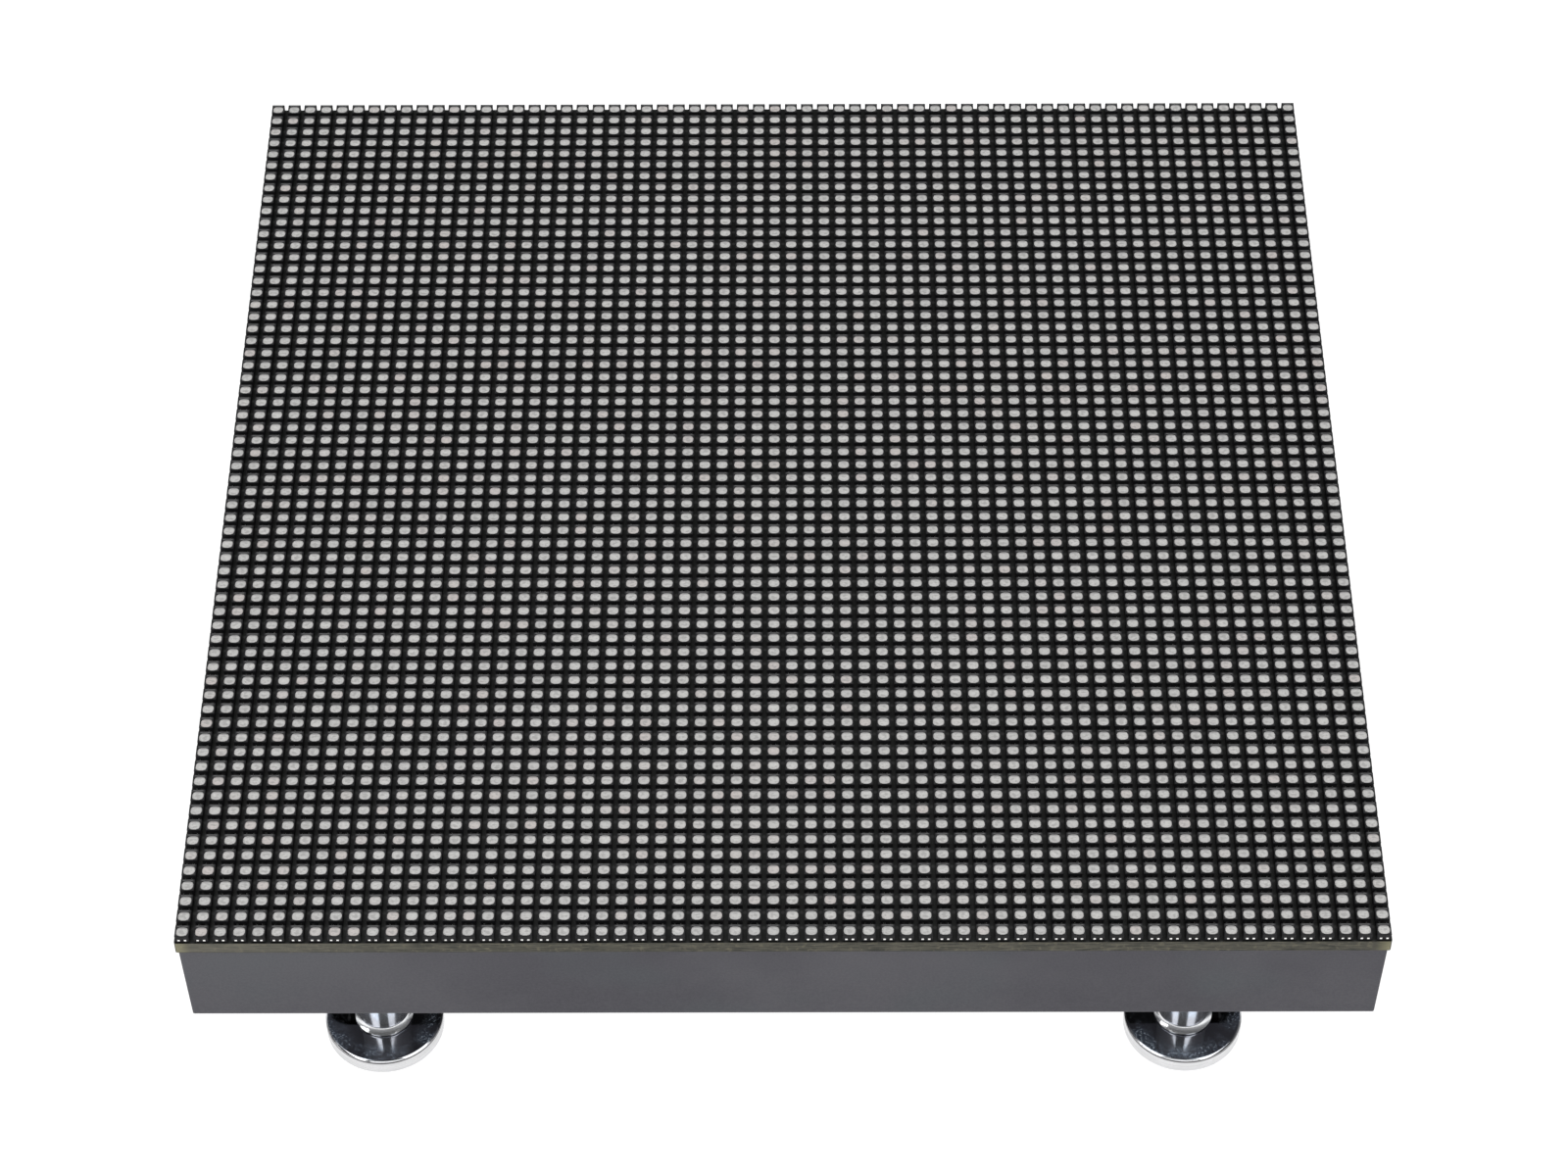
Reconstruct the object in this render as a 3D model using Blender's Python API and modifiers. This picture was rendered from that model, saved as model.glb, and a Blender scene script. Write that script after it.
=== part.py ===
# An indoor RGB LED matrix panel, 64 by 64 pixels at a 2 mm pitch. A circuit board
# carries the LEDs on its front and the drivers and connectors on its back. A moulded
# shell closes the back, and four magnetic feet are screwed into the shell.
# Metres, +Z up, with the lit face up. The origin is on the ground, under the middle.

import math

import bmesh
import bpy

# Pixels
pixels_per_side = 64
pixel_pitch = 0.0020
led_side = 0.0015
led_height = 0.0009
row_web = 0.00015  # the thin sheet that joins the rows of packages

# Circuit board
board_edge_clearance = 0.0001  # how far the board stays inside the pixel grid, each side
board_thickness = 0.0016
board_corner = 0.0002

# Rear shell
shell_inset = 0.00025  # from the board's edge to the shell's, each side
shell_draft = 0.0002  # how far the sides lean in from the board to the rear
shell_height = 0.0119
shell_wall = 0.0018
shell_plate = 0.0018
shell_edge_round = 0.0002
cutter_overshoot = 0.002  # how far a cutter passes the face that it opens
boss_sink = 0.0010  # how deep a boss or rib reaches into the plate or wall

# Windows in the shell's plate
mid_bar_half = 0.0040
rail_past_header = 0.0035  # how far the band that holds the headers goes past their windows
side_band = 0.0120  # from the shell's side to the windows
end_band = 0.0135  # from the shell's front or rear side to the windows
window_round = 0.0020
centre_window = (0.0400, 0.0220)

# Ribs inside the shell
rib_width = 0.0012
rib_height = 0.0040
rib_from_window = 0.0018  # from the edge of a window to a rib's middle

# Magnetic feet
foot_from_side = 0.0195  # from the shell's side to the foot's axis
foot_from_end = 0.0077  # from the shell's front or rear side to the foot's axis
magnet_radius = 0.0065
magnet_thickness = 0.0021
magnet_chamfer = 0.0002
post_radius = 0.0027
post_length = 0.0105
post_flare_radius = 0.0032  # the post widens into a flat foot on the magnet
post_flare_height = 0.0007
post_flare_rim = 0.0002
post_top_chamfer = 0.0002
spigot_radius = 0.0019
spigot_recess = 0.0003  # how far the spigot stays above the magnet's underside
stud_radius = 0.00145
stud_short_of_insert = 0.0005  # how far the stud ends before its insert does
stud_tip_chamfer = 0.0004
insert_wall = 0.00065
insert_length = 0.0055
insert_hole_extra = 0.0002
foot_boss_wall = 0.0017
foot_boss_rib = 0.0015

# Screws that hold the board to the shell
screw_from_side = 0.0050
screw_shank_radius = 0.00145
screw_short_of_board = 0.0012  # how far the screw ends before the board
screw_tip = 0.0007
screw_head_radius = 0.00275
screw_head_height = 0.0019
screw_head_side = 0.0009  # the straight part of the head's side, under its dome
screw_head_flat = 0.0012  # radius of the flat on the dome
nut_wall = 0.0012
nut_height = 0.0050
screw_boss_wall = 0.0010
screw_web = 0.0022

# Connectors
header_from_side = 0.0167  # from the shell's side to the data header's middle
header_size = (0.0088, 0.02794, 0.0090)
header_wall = 0.0012
header_floor = 0.0025
header_key_width = 0.0045
header_opening_margin = 0.0015
power_size = (0.0158, 0.0085, 0.0094)
power_base_height = 0.0033
power_wall = 0.0011
power_wall_inset = 0.0001  # from the base's side to the locking wall

# Chips and capacitors
driver_columns = 3
driver_rows = 2
driver_size = (0.00865, 0.0039, 0.00145)
buffer_size = (0.0044, 0.0065, 0.0010)
buffer_from_header = 0.0110
buffer_y = 0.0080
chip_chamfer = 0.00015
capacitor_radius = 0.00315
capacitor_height = 0.0077
capacitor_base = (0.0066, 0.0066, 0.0010)
capacitor_base_corner = 0.0008
capacitor_neck_depth = 0.00025  # the rolled groove above the base
capacitor_neck_height = 0.0008
capacitor_edge = 0.0004
capacitor_from_power = (0.0061, 0.0055)  # beside the power header's end, and off its middle

# Fits
seat = 0.0001  # gap between faces that rest on each other
thread_clearance = 0.0001
bore_clearance = 0.0002

weld_distance = 0.00001  # merges the points where a turned shape closes

# Segments round a turned shape
magnet_sides = 32
post_sides = 24
small_sides = 16
boss_sides = 24

# Places worked out from the sizes above
board_side = pixels_per_side * pixel_pitch - 2 * board_edge_clearance
grid_side = (pixels_per_side - 1) * pixel_pitch + led_side
shell_side = board_side - 2 * shell_inset
shell_half = shell_side / 2
inner_half = shell_half - shell_wall

post_foot_z = magnet_thickness + seat
post_top_z = post_foot_z + post_length
shell_rear_z = post_top_z + seat
plate_top_z = shell_rear_z + shell_plate
shell_top_z = shell_rear_z + shell_height
board_under_z = shell_top_z + seat
board_top_z = board_under_z + board_thickness
led_foot_z = board_top_z + seat

stud_top_z = shell_rear_z + insert_length - stud_short_of_insert
insert_bore = stud_radius + thread_clearance
insert_radius = insert_bore + insert_wall
insert_hole = insert_radius + thread_clearance
foot_boss_radius = insert_hole + foot_boss_wall
foot_x = shell_half - foot_from_side
foot_y = shell_half - foot_from_end

nut_bore = screw_shank_radius + thread_clearance
nut_radius = nut_bore + nut_wall
nut_low_z = board_under_z - seat - nut_height
boss_top_z = nut_low_z - seat
web_low_z = boss_top_z - screw_web
head_hole = screw_head_radius + bore_clearance
shank_hole = screw_shank_radius + bore_clearance
screw_boss_radius = head_hole + screw_boss_wall
screw_place = shell_half - screw_from_side

part_top_z = board_under_z - seat  # where parts soldered to the board's back begin
header_x = shell_half - header_from_side
header_window = tuple(side + 2 * header_opening_margin for side in header_size[:2])
rail_outer = header_window[1] / 2 + rail_past_header  # half the height of that band
rail_rib_y = rail_outer - rib_from_window


def clear_scene():
    """Start from an empty file."""
    for obj in list(bpy.data.objects):
        bpy.data.objects.remove(obj)


def new_collection(name, helper=False):
    """A collection in the scene. Helpers, such as cutters, are left out of renders."""
    made = bpy.data.collections.new(name)
    made.hide_render = helper
    bpy.context.scene.collection.children.link(made)
    return made


def new_material(name, colour, roughness, metallic=0.0):
    """A Principled material of one colour."""
    made = bpy.data.materials.new(name)
    made.use_nodes = True
    shader = made.node_tree.nodes["Principled BSDF"]
    shader.inputs["Base Color"].default_value = (*colour, 1.0)
    shader.inputs["Roughness"].default_value = roughness
    shader.inputs["Metallic"].default_value = metallic
    return made


def file_away(obj, name, group, finish=None):
    """Name the object, put it in its collection and give it its finish."""
    obj.name = name
    obj.data.name = name
    for other in list(obj.users_collection):
        other.objects.unlink(obj)
    group.objects.link(obj)
    if finish:
        obj.data.materials.clear()
        obj.data.materials.append(finish)
    if group.hide_render:
        obj.hide_render = True
        obj.display_type = "WIRE"
    return obj


def add_box(name, size, centre, group, finish=None):
    """A box of this size about this centre."""
    bpy.ops.mesh.primitive_cube_add(size=1.0, location=centre)
    obj = bpy.context.object
    obj.scale = size
    bpy.ops.object.transform_apply(location=False, rotation=False, scale=True)
    return file_away(obj, name, group, finish)


def add_span(name, low, high, group, finish=None):
    """A box between two corners."""
    size = tuple(b - a for a, b in zip(low, high))
    centre = tuple((a + b) / 2 for a, b in zip(low, high))
    return add_box(name, size, centre, group, finish)


def add_cylinder(name, radius, low_z, high_z, place, sides, group):
    """An upright cylinder between two heights."""
    centre = (place[0], place[1], (low_z + high_z) / 2)
    bpy.ops.mesh.primitive_cylinder_add(
        vertices=sides, radius=radius, depth=high_z - low_z, location=centre
    )
    return file_away(bpy.context.object, name, group)


def profile_mesh(name, profile, closed):
    """Points (radius, height) joined in order, for a Screw modifier about Z."""
    mesh = bpy.data.meshes.new(name)
    points = [(radius, 0.0, height) for radius, height in profile]
    edges = [(i, i + 1) for i in range(len(points) - 1)]
    if closed:
        edges.append((len(points) - 1, 0))
    mesh.from_pydata(points, edges, [])
    return mesh


def add_turned(name, mesh, place, sides, group, finish=None):
    """A shape turned about the upright axis through this place."""
    obj = bpy.data.objects.new(name, mesh)
    bpy.context.scene.collection.objects.link(obj)
    obj.location = (place[0], place[1], 0.0)
    screw = obj.modifiers.new("Turn", "SCREW")
    screw.steps = sides
    screw.render_steps = sides
    screw.use_merge_vertices = True
    screw.merge_threshold = weld_distance
    screw.use_smooth_shade = True
    return file_away(obj, name, group, finish)


def add_bevel(obj, width, segments=1):
    """Chamfered or rounded edges."""
    bevel = obj.modifiers.new("Edges", "BEVEL")
    bevel.width = width
    bevel.segments = segments
    bevel.limit_method = "ANGLE"
    return bevel


def add_boolean(obj, other, operation):
    """Cut away or join on an object, or all the objects of a collection."""
    boolean = obj.modifiers.new(operation.title(), "BOOLEAN")
    boolean.operation = operation
    boolean.solver = "EXACT"
    if isinstance(other, bpy.types.Collection):
        boolean.operand_type = "COLLECTION"
        boolean.collection = other
    else:
        boolean.object = other
    return boolean


def round_upright_edges(obj, width, segments):
    """Round only the edges that run along Z, in the mesh itself."""
    mesh = bmesh.new()
    mesh.from_mesh(obj.data)
    upright = [
        edge
        for edge in mesh.edges
        if abs(edge.verts[0].co.z - edge.verts[1].co.z) > width
    ]
    bmesh.ops.bevel(
        mesh, geom=upright, offset=width, segments=segments, profile=0.5, affect="EDGES"
    )
    mesh.to_mesh(obj.data)
    mesh.free()


def corners(x, y):
    """The four places at plus and minus x and y, with names for the photo's view."""
    return {
        "front_left": (-x, -y),
        "front_right": (x, -y),
        "back_left": (-x, y),
        "back_right": (x, y),
    }


def build_led_rows(group, finish):
    """Each row of packages as one bar. A thin web on the board joins the 64 bars."""
    low = -grid_side / 2
    outline = [(low, 0.0)]
    for row in range(pixels_per_side):
        start = low + row * pixel_pitch
        outline.append((start, led_height))
        outline.append((start + led_side, led_height))
        if row < pixels_per_side - 1:
            outline.append((start + led_side, row_web))
            outline.append((start + pixel_pitch, row_web))
    outline.append((-low, 0.0))
    curve = bpy.data.curves.new("led_rows", "CURVE")
    curve.dimensions = "2D"
    curve.fill_mode = "BOTH"
    curve.extrude = grid_side / 2
    spline = curve.splines.new("POLY")
    spline.points.add(len(outline) - 1)
    for point, (along, up) in zip(spline.points, outline):
        point.co = (along, up, 0.0, 1.0)
    spline.use_cyclic_u = True
    obj = bpy.data.objects.new("led_rows", curve)
    obj.location = (0.0, 0.0, led_foot_z)
    obj.rotation_euler = (math.pi / 2, 0.0, math.pi / 2)
    bpy.context.scene.collection.objects.link(obj)
    return file_away(obj, "led_rows", group, finish)


def build_board(group, finish):
    """The circuit board, a plain plate with its corners just broken."""
    low = (-board_side / 2, -board_side / 2, board_under_z)
    high = (board_side / 2, board_side / 2, board_top_z)
    obj = add_span("led_board", low, high, group, finish)
    round_upright_edges(obj, board_corner, 2)
    return obj


def add_screw_bosses(bosses, openings):
    """A hollow post for each screw: a counterbore from the rear and a web to clamp."""
    for name, place in screw_places().items():
        low_z = plate_top_z - boss_sink
        top_z = boss_top_z
        add_cylinder("boss_" + name, screw_boss_radius, low_z, top_z, place, boss_sides, bosses)
        low_z = shell_rear_z - cutter_overshoot
        add_cylinder("head_" + name, head_hole, low_z, web_low_z, place, boss_sides, openings)
        top_z = boss_top_z + cutter_overshoot
        add_cylinder("shank_" + name, shank_hole, low_z, top_z, place, small_sides, openings)


def add_foot_bosses(bosses, openings):
    """A solid post for each foot, tied to the wall, with a blind hole for its insert."""
    for name, (x, y) in corners(foot_x, foot_y).items():
        low_z = plate_top_z - boss_sink
        high_z = board_under_z - seat
        add_cylinder("seat_" + name, foot_boss_radius, low_z, high_z, (x, y), boss_sides, bosses)
        side = math.copysign(1.0, y)
        near = y + side * foot_boss_radius / 2
        far = side * (inner_half + boss_sink)
        rib_low = (x - foot_boss_rib / 2, min(near, far), low_z)
        rib_high = (x + foot_boss_rib / 2, max(near, far), high_z - rib_height)
        add_span("tie_" + name, rib_low, rib_high, bosses)
        low_z = shell_rear_z - cutter_overshoot
        top_z = shell_rear_z + insert_length + insert_hole_extra
        add_cylinder("hole_" + name, insert_hole, low_z, top_z, (x, y), small_sides, openings)


def add_ribs(bosses):
    """Upright ribs on the plate: two along the connector band and two on the middle bar."""
    low_z = plate_top_z - boss_sink
    high_z = plate_top_z + rib_height
    reach = inner_half + boss_sink
    for name, side in (("front", -1), ("back", 1)):
        y = side * rail_rib_y
        low = (-reach, y - rib_width / 2, low_z)
        high = (reach, y + rib_width / 2, high_z)
        add_span("rail_rib_" + name, low, high, bosses)
        ends = sorted((y, side * reach))
        low = (-rib_width / 2, ends[0], low_z)
        high = (rib_width / 2, ends[1], high_z)
        add_span("bar_rib_" + name, low, high, bosses)


def add_windows(openings):
    """Four windows over the driver chips, one over the power parts, one for each header."""
    low_z = shell_rear_z - cutter_overshoot
    high_z = plate_top_z + cutter_overshoot
    for name, (x0, y0, x1, y1) in window_places().items():
        cutter = add_span("window_" + name, (x0, y0, low_z), (x1, y1, high_z), openings)
        round_upright_edges(cutter, window_round, 3)
    half_x, half_y = (side / 2 for side in centre_window)
    cutter = add_span("window_power", (-half_x, -half_y, low_z), (half_x, half_y, high_z), openings)
    round_upright_edges(cutter, window_round, 3)
    half_x, half_y = (side / 2 for side in header_window)
    for name, x in header_places().items():
        low = (x - half_x, -half_y, low_z)
        high = (x + half_x, half_y, high_z)
        add_span("window_" + name, low, high, openings)


def build_shell(group, finish):
    """The moulded rear shell: an open tray with windows, bosses and ribs in its floor."""
    bosses = new_collection("shell bosses", helper=True)
    openings = new_collection("shell openings", helper=True)
    helpers = new_collection("shell helpers", helper=True)
    low = (-shell_half, -shell_half, shell_rear_z)
    high = (shell_half, shell_half, shell_top_z)
    shell = add_span("rear_shell", low, high, group, finish)
    lean = 1.0 - shell_draft / shell_half
    for vertex in shell.data.vertices:
        if vertex.co.z < 0.0:
            vertex.co.x *= lean
            vertex.co.y *= lean
    low = (-inner_half, -inner_half, plate_top_z)
    high = (inner_half, inner_half, shell_top_z + cutter_overshoot)
    cavity = add_span("cavity", low, high, helpers)
    add_screw_bosses(bosses, openings)
    add_foot_bosses(bosses, openings)
    add_ribs(bosses)
    add_windows(openings)
    add_bevel(shell, shell_edge_round, segments=2)
    add_boolean(shell, cavity, "DIFFERENCE")
    add_boolean(shell, bosses, "UNION")
    add_boolean(shell, openings, "DIFFERENCE")
    return shell


def window_places():
    """Corners x0, y0, x1, y1 of the four windows that show the driver chips."""
    x0, x1 = mid_bar_half, shell_half - side_band
    y0, y1 = rail_outer, shell_half - end_band
    return {
        "front_left": (-x1, -y1, -x0, -y0),
        "front_right": (x0, -y1, x1, -y0),
        "back_left": (-x1, y0, -x0, y1),
        "back_right": (x0, y0, x1, y1),
    }


def screw_places():
    """The six screws: one in each corner and one at the middle of each side."""
    places = corners(screw_place, screw_place)
    places["left"] = (-screw_place, 0.0)
    places["right"] = (screw_place, 0.0)
    return places


def header_places():
    """The data headers. Seen from behind, the signal comes in at the left."""
    return {"data_in_header": header_x, "data_out_header": -header_x}


def build_feet(group, nickel, steel, brass):
    """Each foot is a post with a stud, a ring magnet on its spigot and a shell insert."""
    chamfer = magnet_chamfer
    bore = spigot_radius + bore_clearance
    ring = profile_mesh(
        "magnet_ring",
        [
            (bore, magnet_thickness),
            (magnet_radius - chamfer, magnet_thickness),
            (magnet_radius, magnet_thickness - chamfer),
            (magnet_radius, chamfer),
            (magnet_radius - chamfer, 0.0),
            (bore, 0.0),
        ],
        closed=True,
    )
    post = profile_mesh(
        "foot_post",
        [
            (0.0, stud_top_z),
            (stud_radius - stud_tip_chamfer, stud_top_z),
            (stud_radius, stud_top_z - stud_tip_chamfer),
            (stud_radius, post_top_z),
            (post_radius - post_top_chamfer, post_top_z),
            (post_radius, post_top_z - post_top_chamfer),
            (post_radius, post_foot_z + post_flare_rim + post_flare_height),
            (post_flare_radius, post_foot_z + post_flare_rim),
            (post_flare_radius, post_foot_z),
            (spigot_radius, post_foot_z),
            (spigot_radius, spigot_recess),
            (0.0, spigot_recess),
        ],
        closed=False,
    )
    sleeve = profile_mesh(
        "insert",
        [
            (insert_bore, shell_rear_z + insert_length),
            (insert_radius, shell_rear_z + insert_length),
            (insert_radius, shell_rear_z),
            (insert_bore, shell_rear_z),
        ],
        closed=True,
    )
    for name, place in corners(foot_x, foot_y).items():
        add_turned("foot_magnet_" + name, ring.copy(), place, magnet_sides, group, nickel)
        add_turned("foot_post_" + name, post.copy(), place, post_sides, group, steel)
        add_turned("shell_insert_" + name, sleeve.copy(), place, small_sides, group, brass)


def build_screws(group, steel, tin):
    """Pan-head screws through the shell, and the threaded nuts soldered to the board."""
    head_top_z = web_low_z - seat
    head_low_z = head_top_z - screw_head_height
    tip_z = board_under_z - screw_short_of_board
    side_z = head_top_z - screw_head_side
    dome = math.radians(45)
    dome_radius = screw_head_flat + (screw_head_radius - screw_head_flat) * math.cos(dome)
    dome_z = side_z - (side_z - head_low_z) * math.sin(dome)
    screw = profile_mesh(
        "shell_screw",
        [
            (0.0, tip_z),
            (screw_shank_radius - screw_tip, tip_z),
            (screw_shank_radius, tip_z - screw_tip),
            (screw_shank_radius, head_top_z),
            (screw_head_radius, head_top_z),
            (screw_head_radius, side_z),
            (dome_radius, dome_z),
            (screw_head_flat, head_low_z),
            (0.0, head_low_z),
        ],
        closed=False,
    )
    nut = profile_mesh(
        "board_nut",
        [
            (nut_bore, nut_low_z + nut_height),
            (nut_radius, nut_low_z + nut_height),
            (nut_radius, nut_low_z),
            (nut_bore, nut_low_z),
        ],
        closed=True,
    )
    for name, place in screw_places().items():
        add_turned("shell_screw_" + name, screw.copy(), place, small_sides, group, steel)
        add_turned("board_nut_" + name, nut.copy(), place, small_sides, group, tin)


def build_data_headers(group, black):
    """Two keyed 16-way box headers, mouths to the rear."""
    helpers = new_collection("header cutters", helper=True)
    width, length, height = header_size
    mouth_z = part_top_z - height
    floor_z = part_top_z - header_floor
    low_z = mouth_z - cutter_overshoot
    for name, x in header_places().items():
        low = (x - width / 2, -length / 2, mouth_z)
        high = (x + width / 2, length / 2, part_top_z)
        body = add_span(name, low, high, group, black)
        inner_x = width / 2 - header_wall
        inner_y = length / 2 - header_wall
        low = (x - inner_x, -inner_y, low_z)
        pocket = add_span("pocket_" + name, low, (x + inner_x, inner_y, floor_z), helpers)
        outward = math.copysign(1.0, x)
        ends = sorted((x, x + outward * (width / 2 + cutter_overshoot)))
        key_half = header_key_width / 2
        low = (ends[0], -key_half, low_z)
        key = add_span("key_" + name, low, (ends[1], key_half, floor_z), helpers)
        add_boolean(body, pocket, "DIFFERENCE")
        add_boolean(body, key, "DIFFERENCE")


def build_power_header(group, white):
    """A four-way power header: a base, and a locking wall behind its pins."""
    helpers = new_collection("power header wall", helper=True)
    width, depth, height = power_size
    low = (-width / 2, -depth / 2, part_top_z - power_base_height)
    high = (width / 2, depth / 2, part_top_z)
    base = add_span("power_header", low, high, group, white)
    reach = width / 2 - power_wall
    low = (-reach, depth / 2 - power_wall, part_top_z - height)
    high = (reach, depth / 2 - power_wall_inset, part_top_z - power_base_height / 2)
    wall = add_span("locking_wall", low, high, helpers)
    add_boolean(base, wall, "UNION")


def build_capacitors(group, aluminium):
    """Four canned capacitors, two beside each end of the power header."""
    helpers = new_collection("capacitor bases", helper=True)
    neck_z = part_top_z - capacitor_base[2] - capacitor_neck_height
    low_z = part_top_z - capacitor_height
    inside_z = part_top_z - capacitor_base[2] / 2
    neck_radius = capacitor_radius - capacitor_neck_depth
    can = profile_mesh(
        "capacitor",
        [
            (0.0, inside_z),
            (neck_radius, inside_z),
            (neck_radius, neck_z),
            (capacitor_radius, neck_z - capacitor_neck_depth),
            (capacitor_radius, low_z + capacitor_edge),
            (capacitor_radius - capacitor_edge, low_z),
            (0.0, low_z),
        ],
        closed=False,
    )
    x = power_size[0] / 2 + capacitor_from_power[0]
    y = capacitor_from_power[1]
    for name, place in corners(x, y).items():
        body = add_turned("capacitor_" + name, can.copy(), place, small_sides, group, aluminium)
        centre = (place[0], place[1], part_top_z - capacitor_base[2] / 2)
        foot = add_box("base_" + name, capacitor_base, centre, helpers)
        round_upright_edges(foot, capacitor_base_corner, 1)
        add_boolean(body, foot, "UNION")


def add_chip(name, size, place, group, black):
    """A chip's moulded body, on the board's back."""
    centre = (place[0], place[1], part_top_z - size[2] / 2)
    body = add_box(name, size, centre, group, black)
    add_bevel(body, chip_chamfer)
    return body


def build_chips(group, black):
    """24 constant-current drivers, six to a window, and two signal buffers."""
    number = 0
    for x0, y0, x1, y1 in window_places().values():
        for row in range(driver_rows):
            for column in range(driver_columns):
                number += 1
                x = x0 + (column + 0.5) * (x1 - x0) / driver_columns
                y = y0 + (row + 0.5) * (y1 - y0) / driver_rows
                add_chip(f"driver_chip_{number:02d}", driver_size, (x, y), group, black)
    x = header_x - buffer_from_header
    for name, y in (("front", -buffer_y), ("back", buffer_y)):
        add_chip("buffer_chip_" + name, buffer_size, (x, y), group, black)


def main():
    clear_scene()
    panel = new_collection("rgb led matrix panel")
    package = new_material("led package", (0.02, 0.02, 0.022), 0.45)
    mask = new_material("solder mask", (0.02, 0.022, 0.02), 0.5)
    grey = new_material("grey moulding", (0.10, 0.10, 0.11), 0.55)
    nickel = new_material("nickel plate", (0.75, 0.76, 0.77), 0.12, 1.0)
    steel = new_material("plated steel", (0.70, 0.71, 0.72), 0.2, 1.0)
    brass = new_material("brass", (0.75, 0.58, 0.30), 0.3, 1.0)
    tin = new_material("tinned brass", (0.72, 0.72, 0.70), 0.35, 1.0)
    black = new_material("black moulding", (0.015, 0.015, 0.016), 0.5)
    white = new_material("white nylon", (0.80, 0.79, 0.74), 0.5)
    aluminium = new_material("aluminium can", (0.78, 0.78, 0.79), 0.3, 1.0)
    build_led_rows(panel, package)
    build_board(panel, mask)
    build_shell(panel, grey)
    build_feet(panel, nickel, steel, brass)
    build_screws(panel, steel, tin)
    build_data_headers(panel, black)
    build_power_header(panel, white)
    build_capacitors(panel, aluminium)
    build_chips(panel, black)


main()
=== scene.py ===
import math

import bmesh
import bpy
from mathutils import Matrix, Vector


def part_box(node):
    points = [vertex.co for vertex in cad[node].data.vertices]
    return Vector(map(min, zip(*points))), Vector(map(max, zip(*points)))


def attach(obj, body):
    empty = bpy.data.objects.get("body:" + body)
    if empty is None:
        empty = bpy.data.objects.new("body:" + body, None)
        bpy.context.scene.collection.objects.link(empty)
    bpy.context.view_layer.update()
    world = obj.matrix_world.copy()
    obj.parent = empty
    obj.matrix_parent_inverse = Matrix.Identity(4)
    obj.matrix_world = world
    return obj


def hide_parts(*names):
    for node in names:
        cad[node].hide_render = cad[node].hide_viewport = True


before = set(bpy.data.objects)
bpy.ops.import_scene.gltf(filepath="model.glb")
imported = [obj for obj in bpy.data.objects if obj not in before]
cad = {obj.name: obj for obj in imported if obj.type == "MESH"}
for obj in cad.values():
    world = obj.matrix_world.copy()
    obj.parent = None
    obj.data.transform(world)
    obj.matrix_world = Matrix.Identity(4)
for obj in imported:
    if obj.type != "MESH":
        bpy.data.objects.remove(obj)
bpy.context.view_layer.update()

mm = 0.001
near = 0.01 * mm  # places this close count as the same


# Picking things, and edit mode

def clearSelection():
    if bpy.context.object and bpy.context.object.mode != "OBJECT":
        bpy.ops.object.mode_set(mode="OBJECT")
    bpy.ops.object.select_all(action="DESELECT")


def choose(obj):
    clearSelection()
    obj.select_set(True)
    bpy.context.view_layer.objects.active = obj


def editOn(obj):
    choose(obj)
    bpy.ops.object.mode_set(mode="EDIT")
    bpy.ops.mesh.select_all(action="DESELECT")


def editOff():
    bpy.ops.object.mode_set(mode="OBJECT")


def rename(obj, name):
    obj.name = name
    obj.data.name = name
    return obj


def pick(obj, kind, test):
    # kind is VERT, EDGE or FACE, and test says which of them to select
    bpy.ops.mesh.select_mode(type=kind)
    bpy.ops.mesh.select_all(action="DESELECT")
    shape = bmesh.from_edit_mesh(obj.data)
    parts = {"VERT": shape.verts, "EDGE": shape.edges, "FACE": shape.faces}[kind]
    for part in parts:
        if test(part):
            part.select_set(True)
    bmesh.update_edit_mesh(obj.data)


def pickFaces(obj, way, limit=0.9):
    # the faces that look this way
    pick(obj, "FACE", lambda face: face.normal.dot(Vector(way)) > limit)


def upright(edge, least=0.0, most=1.0):
    # an edge that runs up and down, further than least from the piece's middle and nearer than most
    a, b = (v.co for v in edge.verts)
    out = max(abs(a.x), abs(a.y))
    return abs(a.z - b.z) >= 0.5 * (a - b).length and least < out < most


def extrude(step):
    bpy.ops.mesh.extrude_region_move(TRANSFORM_OT_translate={"value": step})


def bevel(width, steps=1):
    bpy.ops.mesh.bevel(offset=width, segments=steps, affect="EDGES")


def scaleBy(x, y, z=1):
    bpy.ops.transform.resize(value=(x, y, z))


def startBox(name, place, size):
    # a cube at its place, brought to its size in edit mode and left there
    clearSelection()
    bpy.ops.mesh.primitive_cube_add(size=1, location=place)
    made = rename(bpy.context.object, name)
    editOn(made)
    bpy.ops.mesh.select_all(action="SELECT")
    scaleBy(*size)
    return made


def startPeg(sides, radius, depth, place, turn=(0, 0, 0)):
    # a cutter for a dent or a recess
    clearSelection()
    bpy.ops.mesh.primitive_cylinder_add(vertices=sides, radius=radius, depth=depth,
                                        location=place, rotation=turn)
    return bpy.context.object


def arc(middleR, middleZ, radius, fromAngle, toAngle, steps):
    # points (radius, height) of a rounded edge, angles in degrees from straight out
    turns = [math.radians(fromAngle + (toAngle - fromAngle) * i / steps) for i in range(steps + 1)]
    return [(middleR + radius * math.cos(t), middleZ + radius * math.sin(t)) for t in turns]


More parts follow.
